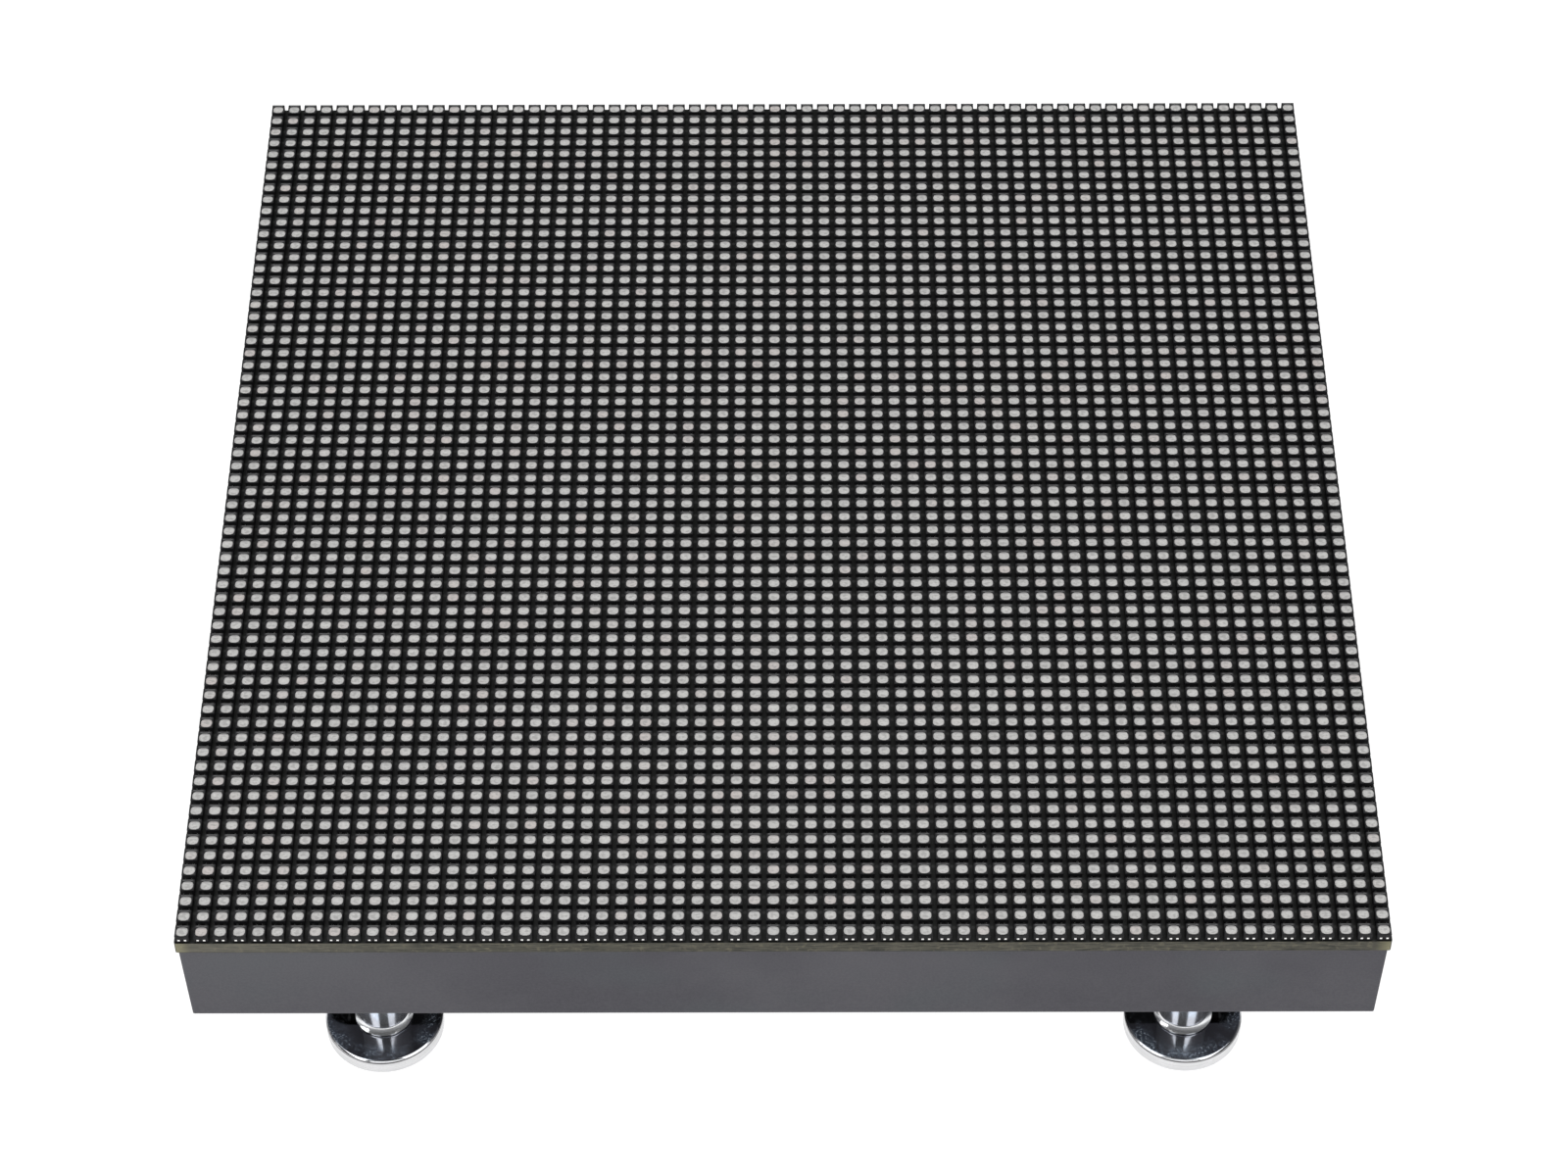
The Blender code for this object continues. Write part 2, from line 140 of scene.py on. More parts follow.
def makeTurned(name, place, profile, steps):
    # one corner of a plane is drawn out along the profile, then spun about the upright axis
    clearSelection()
    half = 1 * mm
    bpy.ops.mesh.primitive_plane_add(size=2 * half, location=(*place, 0))
    made = rename(bpy.context.object, name)
    editOn(made)
    pick(made, "VERT", lambda vert: vert.co.x < 0 or vert.co.y < 0)
    bpy.ops.mesh.delete(type="VERT")
    pick(made, "VERT", lambda vert: True)
    first = profile[0]
    bpy.ops.transform.translate(value=(first[0] - half, -half, first[1]))
    for before, after in zip(profile, profile[1:]):
        step = (after[0] - before[0], 0, after[1] - before[1])
        bpy.ops.mesh.extrude_vertices_move(TRANSFORM_OT_translate={"value": step})
    bpy.ops.mesh.select_all(action="SELECT")
    bpy.ops.mesh.spin(steps=steps, angle=math.tau, center=(*place, 0), axis=(0, 0, 1))
    bpy.ops.mesh.select_all(action="SELECT")
    bpy.ops.mesh.remove_doubles(threshold=0.001 * mm)
    bpy.ops.mesh.normals_make_consistent(inside=False)
    editOff()
    return made


def cutWith(obj, cutter, operation="DIFFERENCE"):
    editOff()
    made = obj.modifiers.new("Cut", "BOOLEAN")
    made.operation = operation
    made.solver = "EXACT"
    made.object = cutter
    choose(obj)
    bpy.ops.object.modifier_apply(modifier=made.name)
    choose(cutter)
    bpy.ops.object.delete()


def copyOf(obj, name, shift=(0, 0, 0), turn=0.0):
    # a copy with its own mesh, moved, or turned about the upright axis through the origin
    choose(obj)
    bpy.ops.object.duplicate(linked=False)
    made = rename(bpy.context.object, name)
    bpy.ops.transform.translate(value=shift)
    if turn:
        bpy.ops.transform.rotate(value=turn, orient_axis="Z", center_override=(0, 0, 0))
    return made


def joined(parts, name):
    choose(parts[0])
    for part in parts:
        part.select_set(True)
    bpy.ops.object.join()
    return rename(bpy.context.object, name)


def smooth(obj, angle=32):
    choose(obj)
    bpy.ops.object.shade_smooth_by_angle(angle=math.radians(angle))


def addArray(obj, count, step):
    made = obj.modifiers.new("Array", "ARRAY")
    made.count = count
    made.use_relative_offset = False
    made.use_constant_offset = True
    made.constant_offset_displace = step
    choose(obj)
    bpy.ops.object.modifier_apply(modifier=made.name)


def settle(obj):
    # puts the piece's place, turn and scale into its mesh
    choose(obj)
    bpy.ops.object.transform_apply(location=True, rotation=True, scale=True)


def keep(obj, finish, replaced=()):
    settle(obj)
    obj.data.materials.clear()
    obj.data.materials.append(finish)
    if replaced:
        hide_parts(*replaced)
    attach(obj, "root")


# Where the CAD nodes are

def middle(nodeName):
    low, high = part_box(nodeName)
    return (low + high) / 2


def axisOf(nodeName):
    place = middle(nodeName)
    return place.x, place.y


def named(start):
    return [name for name in sorted(cad) if name.startswith(start)]


def endingsOf(start):
    return [name[len(start):] for name in named(start)]


def keepAtNodes(place, nodeStart, endings, *kinds):
    # a kind is a shape, its slot, its finish and whether it stands for the node
    # the shapes are at place for the first node, and each of the others gets copies of them
    names = [shape.name for shape, *_ in kinds]
    for ending in [*endings[1:], endings[0]]:
        x, y = axisOf(nodeStart + ending)
        for name, (shape, slotName, finish, stands) in zip(names, kinds):
            if ending == endings[0]:
                piece = rename(shape, f"{name}_{ending}")
            else:
                piece = copyOf(shape, f"{name}_{ending}", (x - place[0], y - place[1], 0))
            keep(piece, finish, [nodeStart + ending] if stands else ())


# Node work for finishes

def shaderOf(made):
    return made.node_tree.nodes["Principled BSDF"]


def newFinish(name, metallic=0.0, specular=0.5):
    made = bpy.data.materials.new(name)
    made.use_nodes = True
    feed(shaderOf(made), "Metallic", metallic)
    feed(shaderOf(made), "Specular IOR Level", specular)
    return made


def feed(target, key, value):
    # a socket is found by its name or its number, and takes a value or a link
    socket = target.inputs[key]
    if isinstance(value, bpy.types.NodeSocket):
        target.id_data.links.new(value, socket)
    else:
        socket.default_value = value


def node(kind, settings, parts=(), **sockets):
    # the node goes where its links come from, and parts go into its first sockets in turn
    inputs = [*enumerate(parts), *sockets.items()]
    tree = next(value.id_data for _, value in inputs if isinstance(value, bpy.types.NodeSocket))
    added = tree.nodes.new("ShaderNode" + kind)
    for key, value in settings.items():
        setattr(added, key, value)
    for key, value in inputs:
        feed(added, key, value)
    return added


def paint(made, colour, roughness):
    feed(shaderOf(made), "Base Color", colour)
    feed(shaderOf(made), "Roughness", roughness)


def relief(made, height, strength, distance):
    added = node("Bump", {}, Height=height, Strength=strength, Distance=distance)
    feed(shaderOf(made), "Normal", added.outputs[0])


def placeOf(made, kind="Object"):
    return made.node_tree.nodes.new("ShaderNodeTexCoord").outputs[kind]


def split(source):
    added = node("SeparateXYZ", {}, [source])
    return added.outputs[0], added.outputs[1], added.outputs[2]


def stretched(source, scale, shift=(0, 0, 0)):
    return node("Mapping", {}, Vector=source, Scale=scale, Location=shift).outputs["Vector"]


def noise(source, scale, detail=2.0, roughness=0.5, distortion=0.0):
    added = node("TexNoise", {}, Vector=source, Scale=scale, Detail=detail,
                 Roughness=roughness, Distortion=distortion)
    return added.outputs["Fac"]


def calc(operation, *parts):
    return node("Math", {"operation": operation}, parts).outputs[0]


def times(a, b):
    return calc("MULTIPLY", a, b)


def vector(operation, *parts):
    added = node("VectorMath", {"operation": operation}, parts)
    return added.outputs["Value" if operation == "LENGTH" else "Vector"]


def between(value, low, high, out0=0.0, out1=1.0, kind="SMOOTHSTEP"):
    # out0 at low and out1 at high
    return node("MapRange", {"interpolation_type": kind}, (value, low, high, out0, out1)).outputs[0]


def mixed(share, first, second):
    added = node("Mix", {"data_type": "RGBA"}, [share])
    for number, colour in ((6, first), (7, second)):
        feed(added, number, (*colour, 1.0) if isinstance(colour, tuple) else colour)
    return added.outputs[2]


def offsets(place, band, way=-1):
    # a band's two distances, back from a place, or on from it
    return [place + way * part for part in band]


def gridCell(place, perMetre, shift=(0, 0, 0)):
    return vector("MULTIPLY_ADD", place, perMetre, shift)


def chanceOf(cell):
    # one chance for each cell of a grid, and three more in one colour
    added = node("TexWhiteNoise", {}, [vector("FLOOR", cell)])
    return added.outputs["Value"], added.outputs["Color"]


def inCell(cell):
    # where a point is in its cell, from the cell's middle
    return vector("SUBTRACT", vector("FRACTION", cell), (0.5, 0.5, 0))


# The LED packages: a black body with a cup, a resin window in it, and two leads each side

ledPackage = {
    "perSide": 64,
    "pitch": 2.0 * mm,
    "side": 1.5 * mm,
    "height": 0.9 * mm,
    "edgeCut": 0.05 * mm,
    "frame": 0.125 * mm,
    "cupDepth": 0.4 * mm,
    "cupDraft": 0.92,
    "cupRound": 0.42 * mm,
    "cupRoundSteps": 2,
    "resinBelow": 0.14 * mm,
    "resinHeight": 0.22 * mm,
    "resinRim": 0.14 * mm,
    "resinDish": 0.03 * mm,
    "leadSize": (0.25 * mm, 1.56 * mm, 0.22 * mm),
    "leadOff": 0.34 * mm,
    "leadZ": 0.30 * mm,
    "strips": 2,
    # the body's colours from package to package, its paler outer rim's, and the painted glare on the frame
    # behind the cup
    "black": ((0.006, 0.006, 0.0065), (0.013, 0.013, 0.015)),
    "rim": (0.04, 0.04, 0.042),
    "backFrame": (0.12, 0.12, 0.122),
    "grains": 9000,
    # the resin's colours from package to package, and those of what shows in it
    "resin": ((0.56, 0.556, 0.545), (0.63, 0.622, 0.605)),
    "warmResin": (0.60, 0.555, 0.535),
    "lightChips": (0.31, 0.305, 0.30),
    "cloud": (0.36, 0.355, 0.35),
    "wires": (0.33, 0.33, 0.33),
    "cupShade": (0.09, 0.09, 0.095),
    "leadTin": ((0.82, 0.81, 0.79), (1.0, 0.99, 0.97)),
}


def ledCell(place, across=1, off=0.0):
    # which package a point belongs to, or which lead with two across; off moves the cells by a share of one
    perMetre, half = 1 / ledPackage["pitch"], ledPackage["perSide"] / 2
    return gridCell(place, (across * perMetre, perMetre, 0), (across * half + off, half + off, 0))


def ledBodyFinish():
    led = ledPackage
    made = newFinish("black epoxy", specular=0.18)
    place = placeOf(made)
    cell = ledCell(place)
    grain = noise(place, led["grains"], 2)
    share = calc("ADD", times(chanceOf(cell)[0], 0.5), times(grain, 0.5))
    colour = mixed(share, *led["black"])
    # places in a cell are shares of the pitch, and the body's side is at 0.375
    local = inCell(cell)
    across, along, _ = split(vector("ABSOLUTE", local))
    rim = between(calc("MAXIMUM", across, along), 0.37, 0.3)
    colour = mixed(times(rim, 0.6), colour, led["rim"])
    _, towardsBack, _ = split(local)
    # painted highlight: a pale patch of glare on the frame just behind each cup
    back = times(between(towardsBack, 0.385, 0.31), between(towardsBack, 0.24, 0.3))
    back = times(back, between(across, 0.33, 0.22))
    colour = mixed(back, colour, led["backFrame"])
    paint(made, colour, between(grain, 0.3, 0.7, 0.5, 0.65))
    relief(made, grain, 0.25, 0.02 * mm)
    return made


def ledWindowFinish():
    led = ledPackage
    made = newFinish("milky resin", specular=0.4)
    place = placeOf(made)
    cell = ledCell(place)
    chance, more = chanceOf(cell)
    _, second, third = split(more)
    local = inCell(cell)
    away = vector("LENGTH", local)
    colour = mixed(chance, *led["resin"])
    colour = mixed(between(second, 0.75, 1.0), colour, led["warmResin"])
    chips = noise(stretched(place, (1500, 2600, 0)), 1.0, 2, 0.6)
    inside = times(between(away, 0.24, 0.12), between(chips, 0.45, 0.6))
    colour = mixed(times(inside, 0.6), colour, led["lightChips"])
    cloud = noise(stretched(place, (900, 900, 900)), 2.0, 3)
    colour = mixed(times(cloud, 0.14), colour, led["cloud"])
    lines = noise(stretched(place, (4200, 4800, 0)), 1.0, 2, 0.6)
    colour = mixed(between(lines, 0.5, 0.68, 0, 0.35), colour, led["wires"])
    _, towardsBack, _ = split(local)
    shade = between(towardsBack, 0.15, 0.31)
    colour = mixed(times(shade, 0.85), colour, led["cupShade"])
    paint(made, colour, between(third, 0.0, 1.0, 0.26, 0.4))
    relief(made, cloud, 0.2, 0.05 * mm)
    return made


def ledLeadFinish():
    made = newFinish("tinned lead", metallic=1.0)
    place = placeOf(made)
    chance, _ = chanceOf(ledCell(place, across=2))
    stain = noise(place, 6000, 2)
    paint(made, mixed(chance, *ledPackage["leadTin"]), between(stain, 0.3, 0.7, 0.1, 0.3))
    return made


def makeLedField():
    led = ledPackage
    count, pitch, side, tall = led["perSide"], led["pitch"], led["side"], led["height"]
    reach = (count - 1) / 2 * pitch
    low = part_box("led_rows")[0].z
    inner = side / 2 - led["frame"]
    rows = count // led["strips"]

    body = startBox("ledBodies", (-reach, -reach, low + tall / 2), (side, side, tall))
    pickFaces(body, (0, 0, 1))
    bpy.ops.mesh.inset(thickness=led["frame"])
    extrude((0, 0, -led["cupDepth"]))
    scaleBy(led["cupDraft"], led["cupDraft"])
    pick(body, "EDGE", lambda edge: upright(edge, most=inner + near))
    bevel(led["cupRound"], led["cupRoundSteps"])
    pick(body, "EDGE", lambda edge: upright(edge, least=side / 2 - near))
    bevel(led["edgeCut"])
    editOff()

    top = low + tall - led["resinBelow"]
    size = (2 * inner, 2 * inner, led["resinHeight"])
    window = startBox("ledWindows", (-reach, -reach, top - led["resinHeight"] / 2), size)
    pick(window, "EDGE", upright)
    bevel(led["cupRound"], led["cupRoundSteps"])
    pickFaces(window, (0, 0, 1))
    bpy.ops.mesh.inset(thickness=led["resinRim"])
    bpy.ops.transform.translate(value=(0, 0, -led["resinDish"]))
    editOff()

    lead = startBox("ledLeads", (-reach - led["leadOff"], -reach, low + led["leadZ"]), led["leadSize"])
    editOff()
    addArray(lead, 2, (2 * led["leadOff"], 0, 0))
    addArray(lead, count, (pitch, 0, 0))
    addArray(lead, count, (0, pitch, 0))
    keep(lead, ledLeadFinish(), ["led_rows"])

    kinds = ((body, "led_package", ledBodyFinish()), (window, "led_lens", ledWindowFinish()))
    for first, slotName, finish in kinds:
        name = first.name
        addArray(first, count, (pitch, 0, 0))
        addArray(first, rows, (0, pitch, 0))
        for strip in range(1, led["strips"]):
            other = copyOf(first, f"{name}{strip + 1}", (0, strip * rows * pitch, 0))
            keep(other, finish, ["led_rows"])
        keep(rename(first, name + "1"), finish, ["led_rows"])
    print("LED packages:", count ** 2)


# The circuit board: black mask on both faces, bare laminate at the cut edges

boardLook = {
    "bareBand": (0.04 * mm, 0.02 * mm),  # the mask gives way from and to this far inside the cut edge
    "fibre": ((0.042, 0.043, 0.036), (0.122, 0.116, 0.09)),
    "fleck": (0.17, 0.155, 0.11),
    # a painted light: the bare edge is paler towards the left end
    "leftEnd": (0.21, 0.20, 0.165),
    "leftEndX": (-35 * mm, -60 * mm),
    # a painted highlight on the bare edge near the board's corners
    "corner": (0.36, 0.34, 0.2),
    "cornerBand": (1.9 * mm, 0.1 * mm),
    "border": (0.03, 0.03, 0.028),
    "borderTop": (0.08 * mm, 0),
    "borderLow": (0.16 * mm, 0),
    "mask": ((0.005, 0.0055, 0.005), (0.011, 0.012, 0.011)),
    "spot": (0.05, 0.05, 0.05),  # a paler spot where four packages meet
    "trace": (0.018, 0.019, 0.018),
    "traceBand": (0.3 * mm, 0.1 * mm),  # traces show on the underside only
    "patches": 130,
    "lines": 2100,
    "vias": 900,
}


def boardTraces(place):
    # fine lines that run one way in some patches and the other way in others, and covered vias
    look = boardLook
    which, _, amount = split(chanceOf(gridCell(place, (look["patches"],) * 3))[1])
    lines = [between(calc("PINGPONG", times(way, look["lines"]), 0.5), 0.18, 0.26)
             for way in split(place)[:2]]
    choice = calc("GREATER_THAN", which, 0.5)
    first = times(lines[0], choice)
    second = times(lines[1], calc("SUBTRACT", 1.0, choice))
    fine = times(calc("ADD", first, second), calc("GREATER_THAN", amount, 0.35))
    cell = gridCell(place, (look["vias"], look["vias"], 0))
    ring = between(vector("LENGTH", inCell(cell)), 0.3, 0.24)
    via = times(ring, calc("GREATER_THAN", chanceOf(cell)[0], 0.86))
    return calc("MAXIMUM", fine, via)


def boardFinish():
    look = boardLook
    made = newFinish("black solder mask", specular=0.2)
    place = placeOf(made)
    x, y, z = split(place)
    low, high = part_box("led_board")
    half = high.x
    fromMiddle = [calc("ABSOLUTE", way) for way in (x, y)]
    edge = between(calc("MAXIMUM", *fromMiddle), *offsets(half, look["bareBand"]))
    streak = noise(stretched(place, (60, 60, 1400)), 6.0, 5, 0.65, 0.4)
    fleck = noise(place, 1500, 3, 0.6)
    fibre = mixed(between(streak, 0.41, 0.6), *look["fibre"])
    fibre = mixed(between(fleck, 0.52, 0.72, 0, 0.6), fibre, look["fleck"])
    # painted light: the bare edge is paler towards the left end, where more light falls on it
    fibre = mixed(between(x, *look["leftEndX"], 0, 0.35), fibre, look["leftEnd"])
    # painted highlight: the bare edge is paler near the board's corners, where it catches the light
    corner = between(calc("MINIMUM", *fromMiddle), *offsets(half, look["cornerBand"]), 0, 0.5)
    fibre = mixed(corner, fibre, look["corner"])
    border = calc("MAXIMUM",
                  between(z, *offsets(high.z, look["borderTop"])),
                  between(z, *offsets(low.z, look["borderLow"], 1)))
    fibre = mixed(times(border, 0.6), fibre, look["border"])
    spot = vector("LENGTH", inCell(ledCell(place, off=0.5)))
    cloud = noise(place, 180, 4, 0.6)
    mask = mixed(between(cloud, 0.3, 0.7), *look["mask"])
    mask = mixed(times(between(spot, 0.13, 0.07), 0.6), mask, look["spot"])
    under = between(z, *offsets(low.z, look["traceBand"], 1))
    trace = times(boardTraces(place), under)
    mask = mixed(trace, mask, look["trace"])
    paint(made, mixed(edge, mask, fibre), between(edge, 0, 1, 0.38, 0.75))
    relief(made, calc("ADD", times(streak, edge), times(trace, 0.7)), 0.35, 0.08 * mm)
    return made


# The rear shell: grey moulding with a fine texture

shellLook = {
    "grey": ((0.058, 0.056, 0.068), (0.082, 0.080, 0.092)),
    "tint": (0.068, 0.080, 0.088),
    # painted light and shade: paler towards the left end, and darker towards the bottom
    "leftEnd": (0.092, 0.091, 0.103),
    "leftEndX": (-20 * mm, -58 * mm),
    "low": (0.045, 0.043, 0.054),
    # the colour of a painted highlight along the top and bottom edges
    "rim": (0.105, 0.103, 0.113),
    "rimTop": (0.5 * mm, 0.1 * mm),  # how far below the top the painted highlight starts, and is full
    "rimLow": (0.5 * mm, 0.05 * mm),
    "grains": 3600,
}


def shellFinish():
    look = shellLook
    made = newFinish("grey moulding", specular=0.35)
    place = placeOf(made)
    x, _, z = split(place)
    low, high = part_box("rear_shell")
    cloud = noise(place, 55, 3, 0.55)
    tint = noise(stretched(place, (1, 1, 1), (0.31, 0.17, 0.05)), 70, 2, 0.5)
    base = mixed(between(cloud, 0.32, 0.68), *look["grey"])
    base = mixed(between(tint, 0.5, 0.72, 0, 0.55), base, look["tint"])
    # painted light: the moulding is paler towards the left end, where more light falls
    base = mixed(between(x, *look["leftEndX"], 0, 0.5), base, look["leftEnd"])
    # painted shade: the moulding darkens towards its bottom, away from the light above
    base = mixed(between(z, high.z, low.z, 0, 0.25), base, look["low"])
    # painted highlight: paler bands along the shell's top and bottom edges, where the edges catch the light
    rim = calc("MAXIMUM",
               between(z, *offsets(high.z, look["rimTop"])),
               between(z, *offsets(low.z, look["rimLow"], 1), 0, 0.6))
    base = mixed(times(rim, 0.5), base, look["rim"])
    grain = noise(place, look["grains"], 3, 0.7)
    paint(made, base, between(grain, 0.3, 0.7, 0.52, 0.7))
    relief(made, grain, 0.3, 0.04 * mm)
    return made


# Plain metals and mouldings, which several pieces share

# dark and light colour, least and most roughness, grains in a metre, and how the grains are drawn out
metals = {
    "turned brass": ((0.5, 0.34, 0.13), (0.72, 0.52, 0.24), 0.2, 0.4, 1200, (1, 1, 1)),
    "zinc plate": ((0.62, 0.62, 0.64), (0.78, 0.79, 0.8), 0.14, 0.3, 900, (1, 1, 8)),
    "dull tin": ((0.5, 0.5, 0.48), (0.72, 0.72, 0.7), 0.25, 0.5, 1500, (1, 1, 1)),
    "drawn aluminium": ((0.58, 0.58, 0.59), (0.8, 0.8, 0.81), 0.2, 0.36, 1500, (1, 1, 3)),
    "tin plate": ((0.55, 0.55, 0.53), (0.78, 0.78, 0.76), 0.2, 0.42, 1500, (1, 1, 1)),
    "gilt pin": ((0.62, 0.45, 0.18), (0.85, 0.66, 0.32), 0.12, 0.25, 1500, (1, 1, 1)),
}

# dark and light colour, roughness, grains in a metre
mouldings = {
    "black moulding": ((0.012, 0.012, 0.013), (0.018, 0.018, 0.019), 0.5, 5200),
    "white nylon": ((0.74, 0.725, 0.66), (0.82, 0.81, 0.76), 0.45, 5200),
    "dark ceramic": ((0.02, 0.018, 0.017), (0.05, 0.042, 0.036), 0.4, 3000),
}


def metalFinish(name):
    dark, light, roughFrom, roughTo, grains, drawn = metals[name]
    made = newFinish(name, metallic=1.0)
    place = placeOf(made)
    lines = noise(stretched(place, drawn), grains, 4, 0.6)
    marks = noise(place, 420, 3, 0.6)
    paint(made, mixed(between(marks, 0.35, 0.7), light, dark),
          between(lines, 0.3, 0.7, roughFrom, roughTo))
    relief(made, lines, 0.08, 0.02 * mm)
    return made


def mouldingFinish(name):
    dark, light, roughness, grains = mouldings[name]
    made = newFinish(name)
    place = placeOf(made)
    grain = noise(place, grains, 3, 0.6)
    cloud = noise(place, 420, 3, 0.5)
    paint(made, mixed(between(cloud, 0.3, 0.7), dark, light),
          between(grain, 0.3, 0.7, roughness - 0.08, roughness + 0.1))
    relief(made, grain, 0.2, 0.03 * mm)
    return made


def dress(names, finish):
    # gives CAD nodes a finish and leaves their meshes alone
    for name in names:
        for slot in cad[name].material_slots:
            slot.link = "OBJECT"
            slot.material = finish


def dressCad():
    dress(["led_board"], boardFinish())
    dress(["rear_shell"], shellFinish())
    dress(named("shell_insert"), metalFinish("turned brass"))
    print("CAD nodes dressed")


# The feet: a ring magnet on a bright flared post, whose stud goes into the shell's insert

foot = {
    "corners": ("front_left", "front_right", "back_left", "back_right"),
    "steps": 96,
    "magnetRadius": 6.5 * mm,
    "magnetTop": 2.1 * mm,
    "magnetBore": 2.1 * mm,
    "edgeCut": 0.2 * mm,
    "edgeRound": 0.09 * mm,
    "edgeSteps": 4,
    "edgeLower": 0.036 * mm,  # the lower arc of the top edge starts this far below the cut
    "boreCut": 0.12 * mm,
    "holdLoop": 0.06 * mm,  # a loop beside a rounded edge keeps the flat beside it flat
    "postFoot": 2.2 * mm,
    "footCut": 0.05 * mm,
    "flareRadius": 3.2 * mm,
    "flareRim": 0.18 * mm,
    "flareHeight": 0.72 * mm,
    "flareHollow": (0.024 * mm, 0.018 * mm),  # in and down
    "flareSteps": 6,
    "flareLoop": 0.12 * mm,
    "postRadius": 2.7 * mm,
    "postTop": 12.7 * mm,
    "topRound": 0.2 * mm,
    "topSteps": 3,
    "spigotRadius": 1.9 * mm,
    "spigotEnd": 0.3 * mm,
    "spigotCut": 0.15 * mm,
    "keyWidth": 2.0 * mm,
    "keyDepth": 1.4 * mm,
    "keyDraft": 0.9,
    "studTop": 17.8 * mm,
    "firstThread": 0.45 * mm,
    "threadCrest": 1.45 * mm,
    "threadRoot": 1.17 * mm,
    "threadPitch": 0.5 * mm,
    "threadFlat": 0.03 * mm,  # half of a thread's flat crest
    "threads": 9,
    "steel": ((0.88, 0.89, 0.9), (0.8, 0.81, 0.83)),
}

# a band is two distances in from the magnet's wall: where a look starts, and where it is full
magnetLook = {
    # the top face's colour, darker than the bottom face's, is a painted reflection
    "flat": ((0.62, 0.63, 0.65), (0.31, 0.32, 0.35)),
    "flatHeights": (1 * mm, 2 * mm),
    "cloud": (0.44, 0.52, 0.63),
    "speck": (0.66, 0.78, 0.9),
    "cloudFrom": (3.8 * mm, 5.8 * mm),  # from the axis
    # the chamfer's colour is a painted highlight
    "edge": (0.6, 0.61, 0.63),
    "edgeBand": (0.24 * mm, 0.16 * mm),
    "wall": ((0.62, 0.62, 0.63), (0.78, 0.78, 0.79)),
    "wallBand": (0.06 * mm, 0.01 * mm),
    # a thin dark line round the wall, just under the top edge's cut
    "seam": (0.03, 0.03, 0.035),
    "seamLow": (0.26 * mm, 0.16 * mm),  # down from the top edge's cut
    "seamHigh": (-0.02 * mm, 0.06 * mm),
}


def fromFootAxis(x, y):
    # how far a point is from its own foot's axis; the four feet lie alike
    off = [calc("SUBTRACT", calc("ABSOLUTE", way), axis)
           for way, axis in zip((x, y), axisOf("foot_post_back_right"))]
    return calc("SQRT", calc("ADD", *(times(part, part) for part in off)))


def magnetFinish():
    look = magnetLook
    made = newFinish("bright nickel")
    place = placeOf(made)
    x, y, z = split(place)
    away = fromFootAxis(x, y)
    wall = between(away, *offsets(foot["magnetRadius"], look["wallBand"]))
    edge = between(away, *offsets(foot["magnetRadius"], look["edgeBand"]))
    haze = noise(place, 330, 5, 0.7, 0.5)
    fleck = noise(place, 3800, 4, 0.7)
    cloudy = times(between(haze, 0.38, 0.62), between(away, *look["cloudFrom"]))
    speck = times(between(fleck, 0.48, 0.64), cloudy)
    # painted reflection: the top face's nickel is darker than the bottom face's, standing in for the dark
    # shell underside that it mirrors
    flat = mixed(between(z, *look["flatHeights"]), *look["flat"])
    flat = mixed(cloudy, flat, look["cloud"])
    flat = mixed(speck, flat, look["speck"])
    # painted highlight: the chamfer round the top keeps a pale colour, so that it shines brighter than the
    # darkened top
    flat = mixed(edge, flat, look["edge"])
    lines = noise(stretched(place, (90, 90, 9000)), 1.0, 3, 0.6)
    side = mixed(between(lines, 0.3, 0.7), *look["wall"])
    edgeZ = foot["magnetTop"] - foot["edgeCut"]
    # a thin dark line round the wall, just under the top edge's cut
    seam = times(between(z, *offsets(edgeZ, look["seamLow"])),
                 between(z, *offsets(edgeZ, look["seamHigh"])))
    side = mixed(seam, side, look["seam"])
    rough = calc("ADD", times(cloudy, 0.17), between(fleck, 0.5, 0.8, 0.03, 0.06))
    paint(made, mixed(wall, flat, side), calc("ADD", rough, times(wall, 0.22)))
    feed(shaderOf(made), "Metallic", between(speck, 0.0, 1.0, 1.0, 0.45, "LINEAR"))
    dents = calc("ADD", times(lines, times(wall, 0.6)), times(haze, 0.25))
    relief(made, dents, 0.12, 0.05 * mm)
    return made


def postFinish():
    made = newFinish("bright plated steel", metallic=0.93)
    place = placeOf(made)
    turned = noise(stretched(place, (60, 60, 7000)), 1.0, 3, 0.6)
    haze = noise(place, 700, 4, 0.65)
    paint(made, mixed(between(haze, 0.35, 0.75), *foot["steel"]), between(haze, 0.3, 0.75, 0.12, 0.18))
    relief(made, calc("ADD", times(turned, 0.3), haze), 0.06, 0.04 * mm)
    return made


def magnetProfile():
    f = foot
    edge, soft, hold, cut = f["edgeCut"], f["edgeRound"], f["holdLoop"], f["boreCut"]
    outer, inner, top = f["magnetRadius"], f["magnetBore"], f["magnetTop"]
    points = [(inner, cut), (inner, top - cut), (inner + cut, top), (outer - edge - 2 * hold, top)]
    points += arc(outer - edge - hold, top - soft, soft, 90, 45, f["edgeSteps"])
    points += arc(outer - soft, top - edge - f["edgeLower"], soft, 45, 0, f["edgeSteps"])
    points += [(outer, top - edge - soft - hold), (outer, edge + hold)]
    points += arc(outer - edge, edge, edge, 0, -90, f["edgeSteps"])
    points += [(outer - edge - hold, 0), (inner + cut, 0), (inner, cut)]
    return points


def threadPoints(shape, crest, root, tip):
    # the ridges down a threaded shank; shape is the dictionary of its piece
    points, flat = [], shape["threadFlat"]
    for thread in range(shape["threads"]):
        high = tip - shape["firstThread"] - thread * shape["threadPitch"]
        points += [(crest, high + flat), (crest, high - flat), (root, high - shape["threadPitch"] / 2)]
    return points


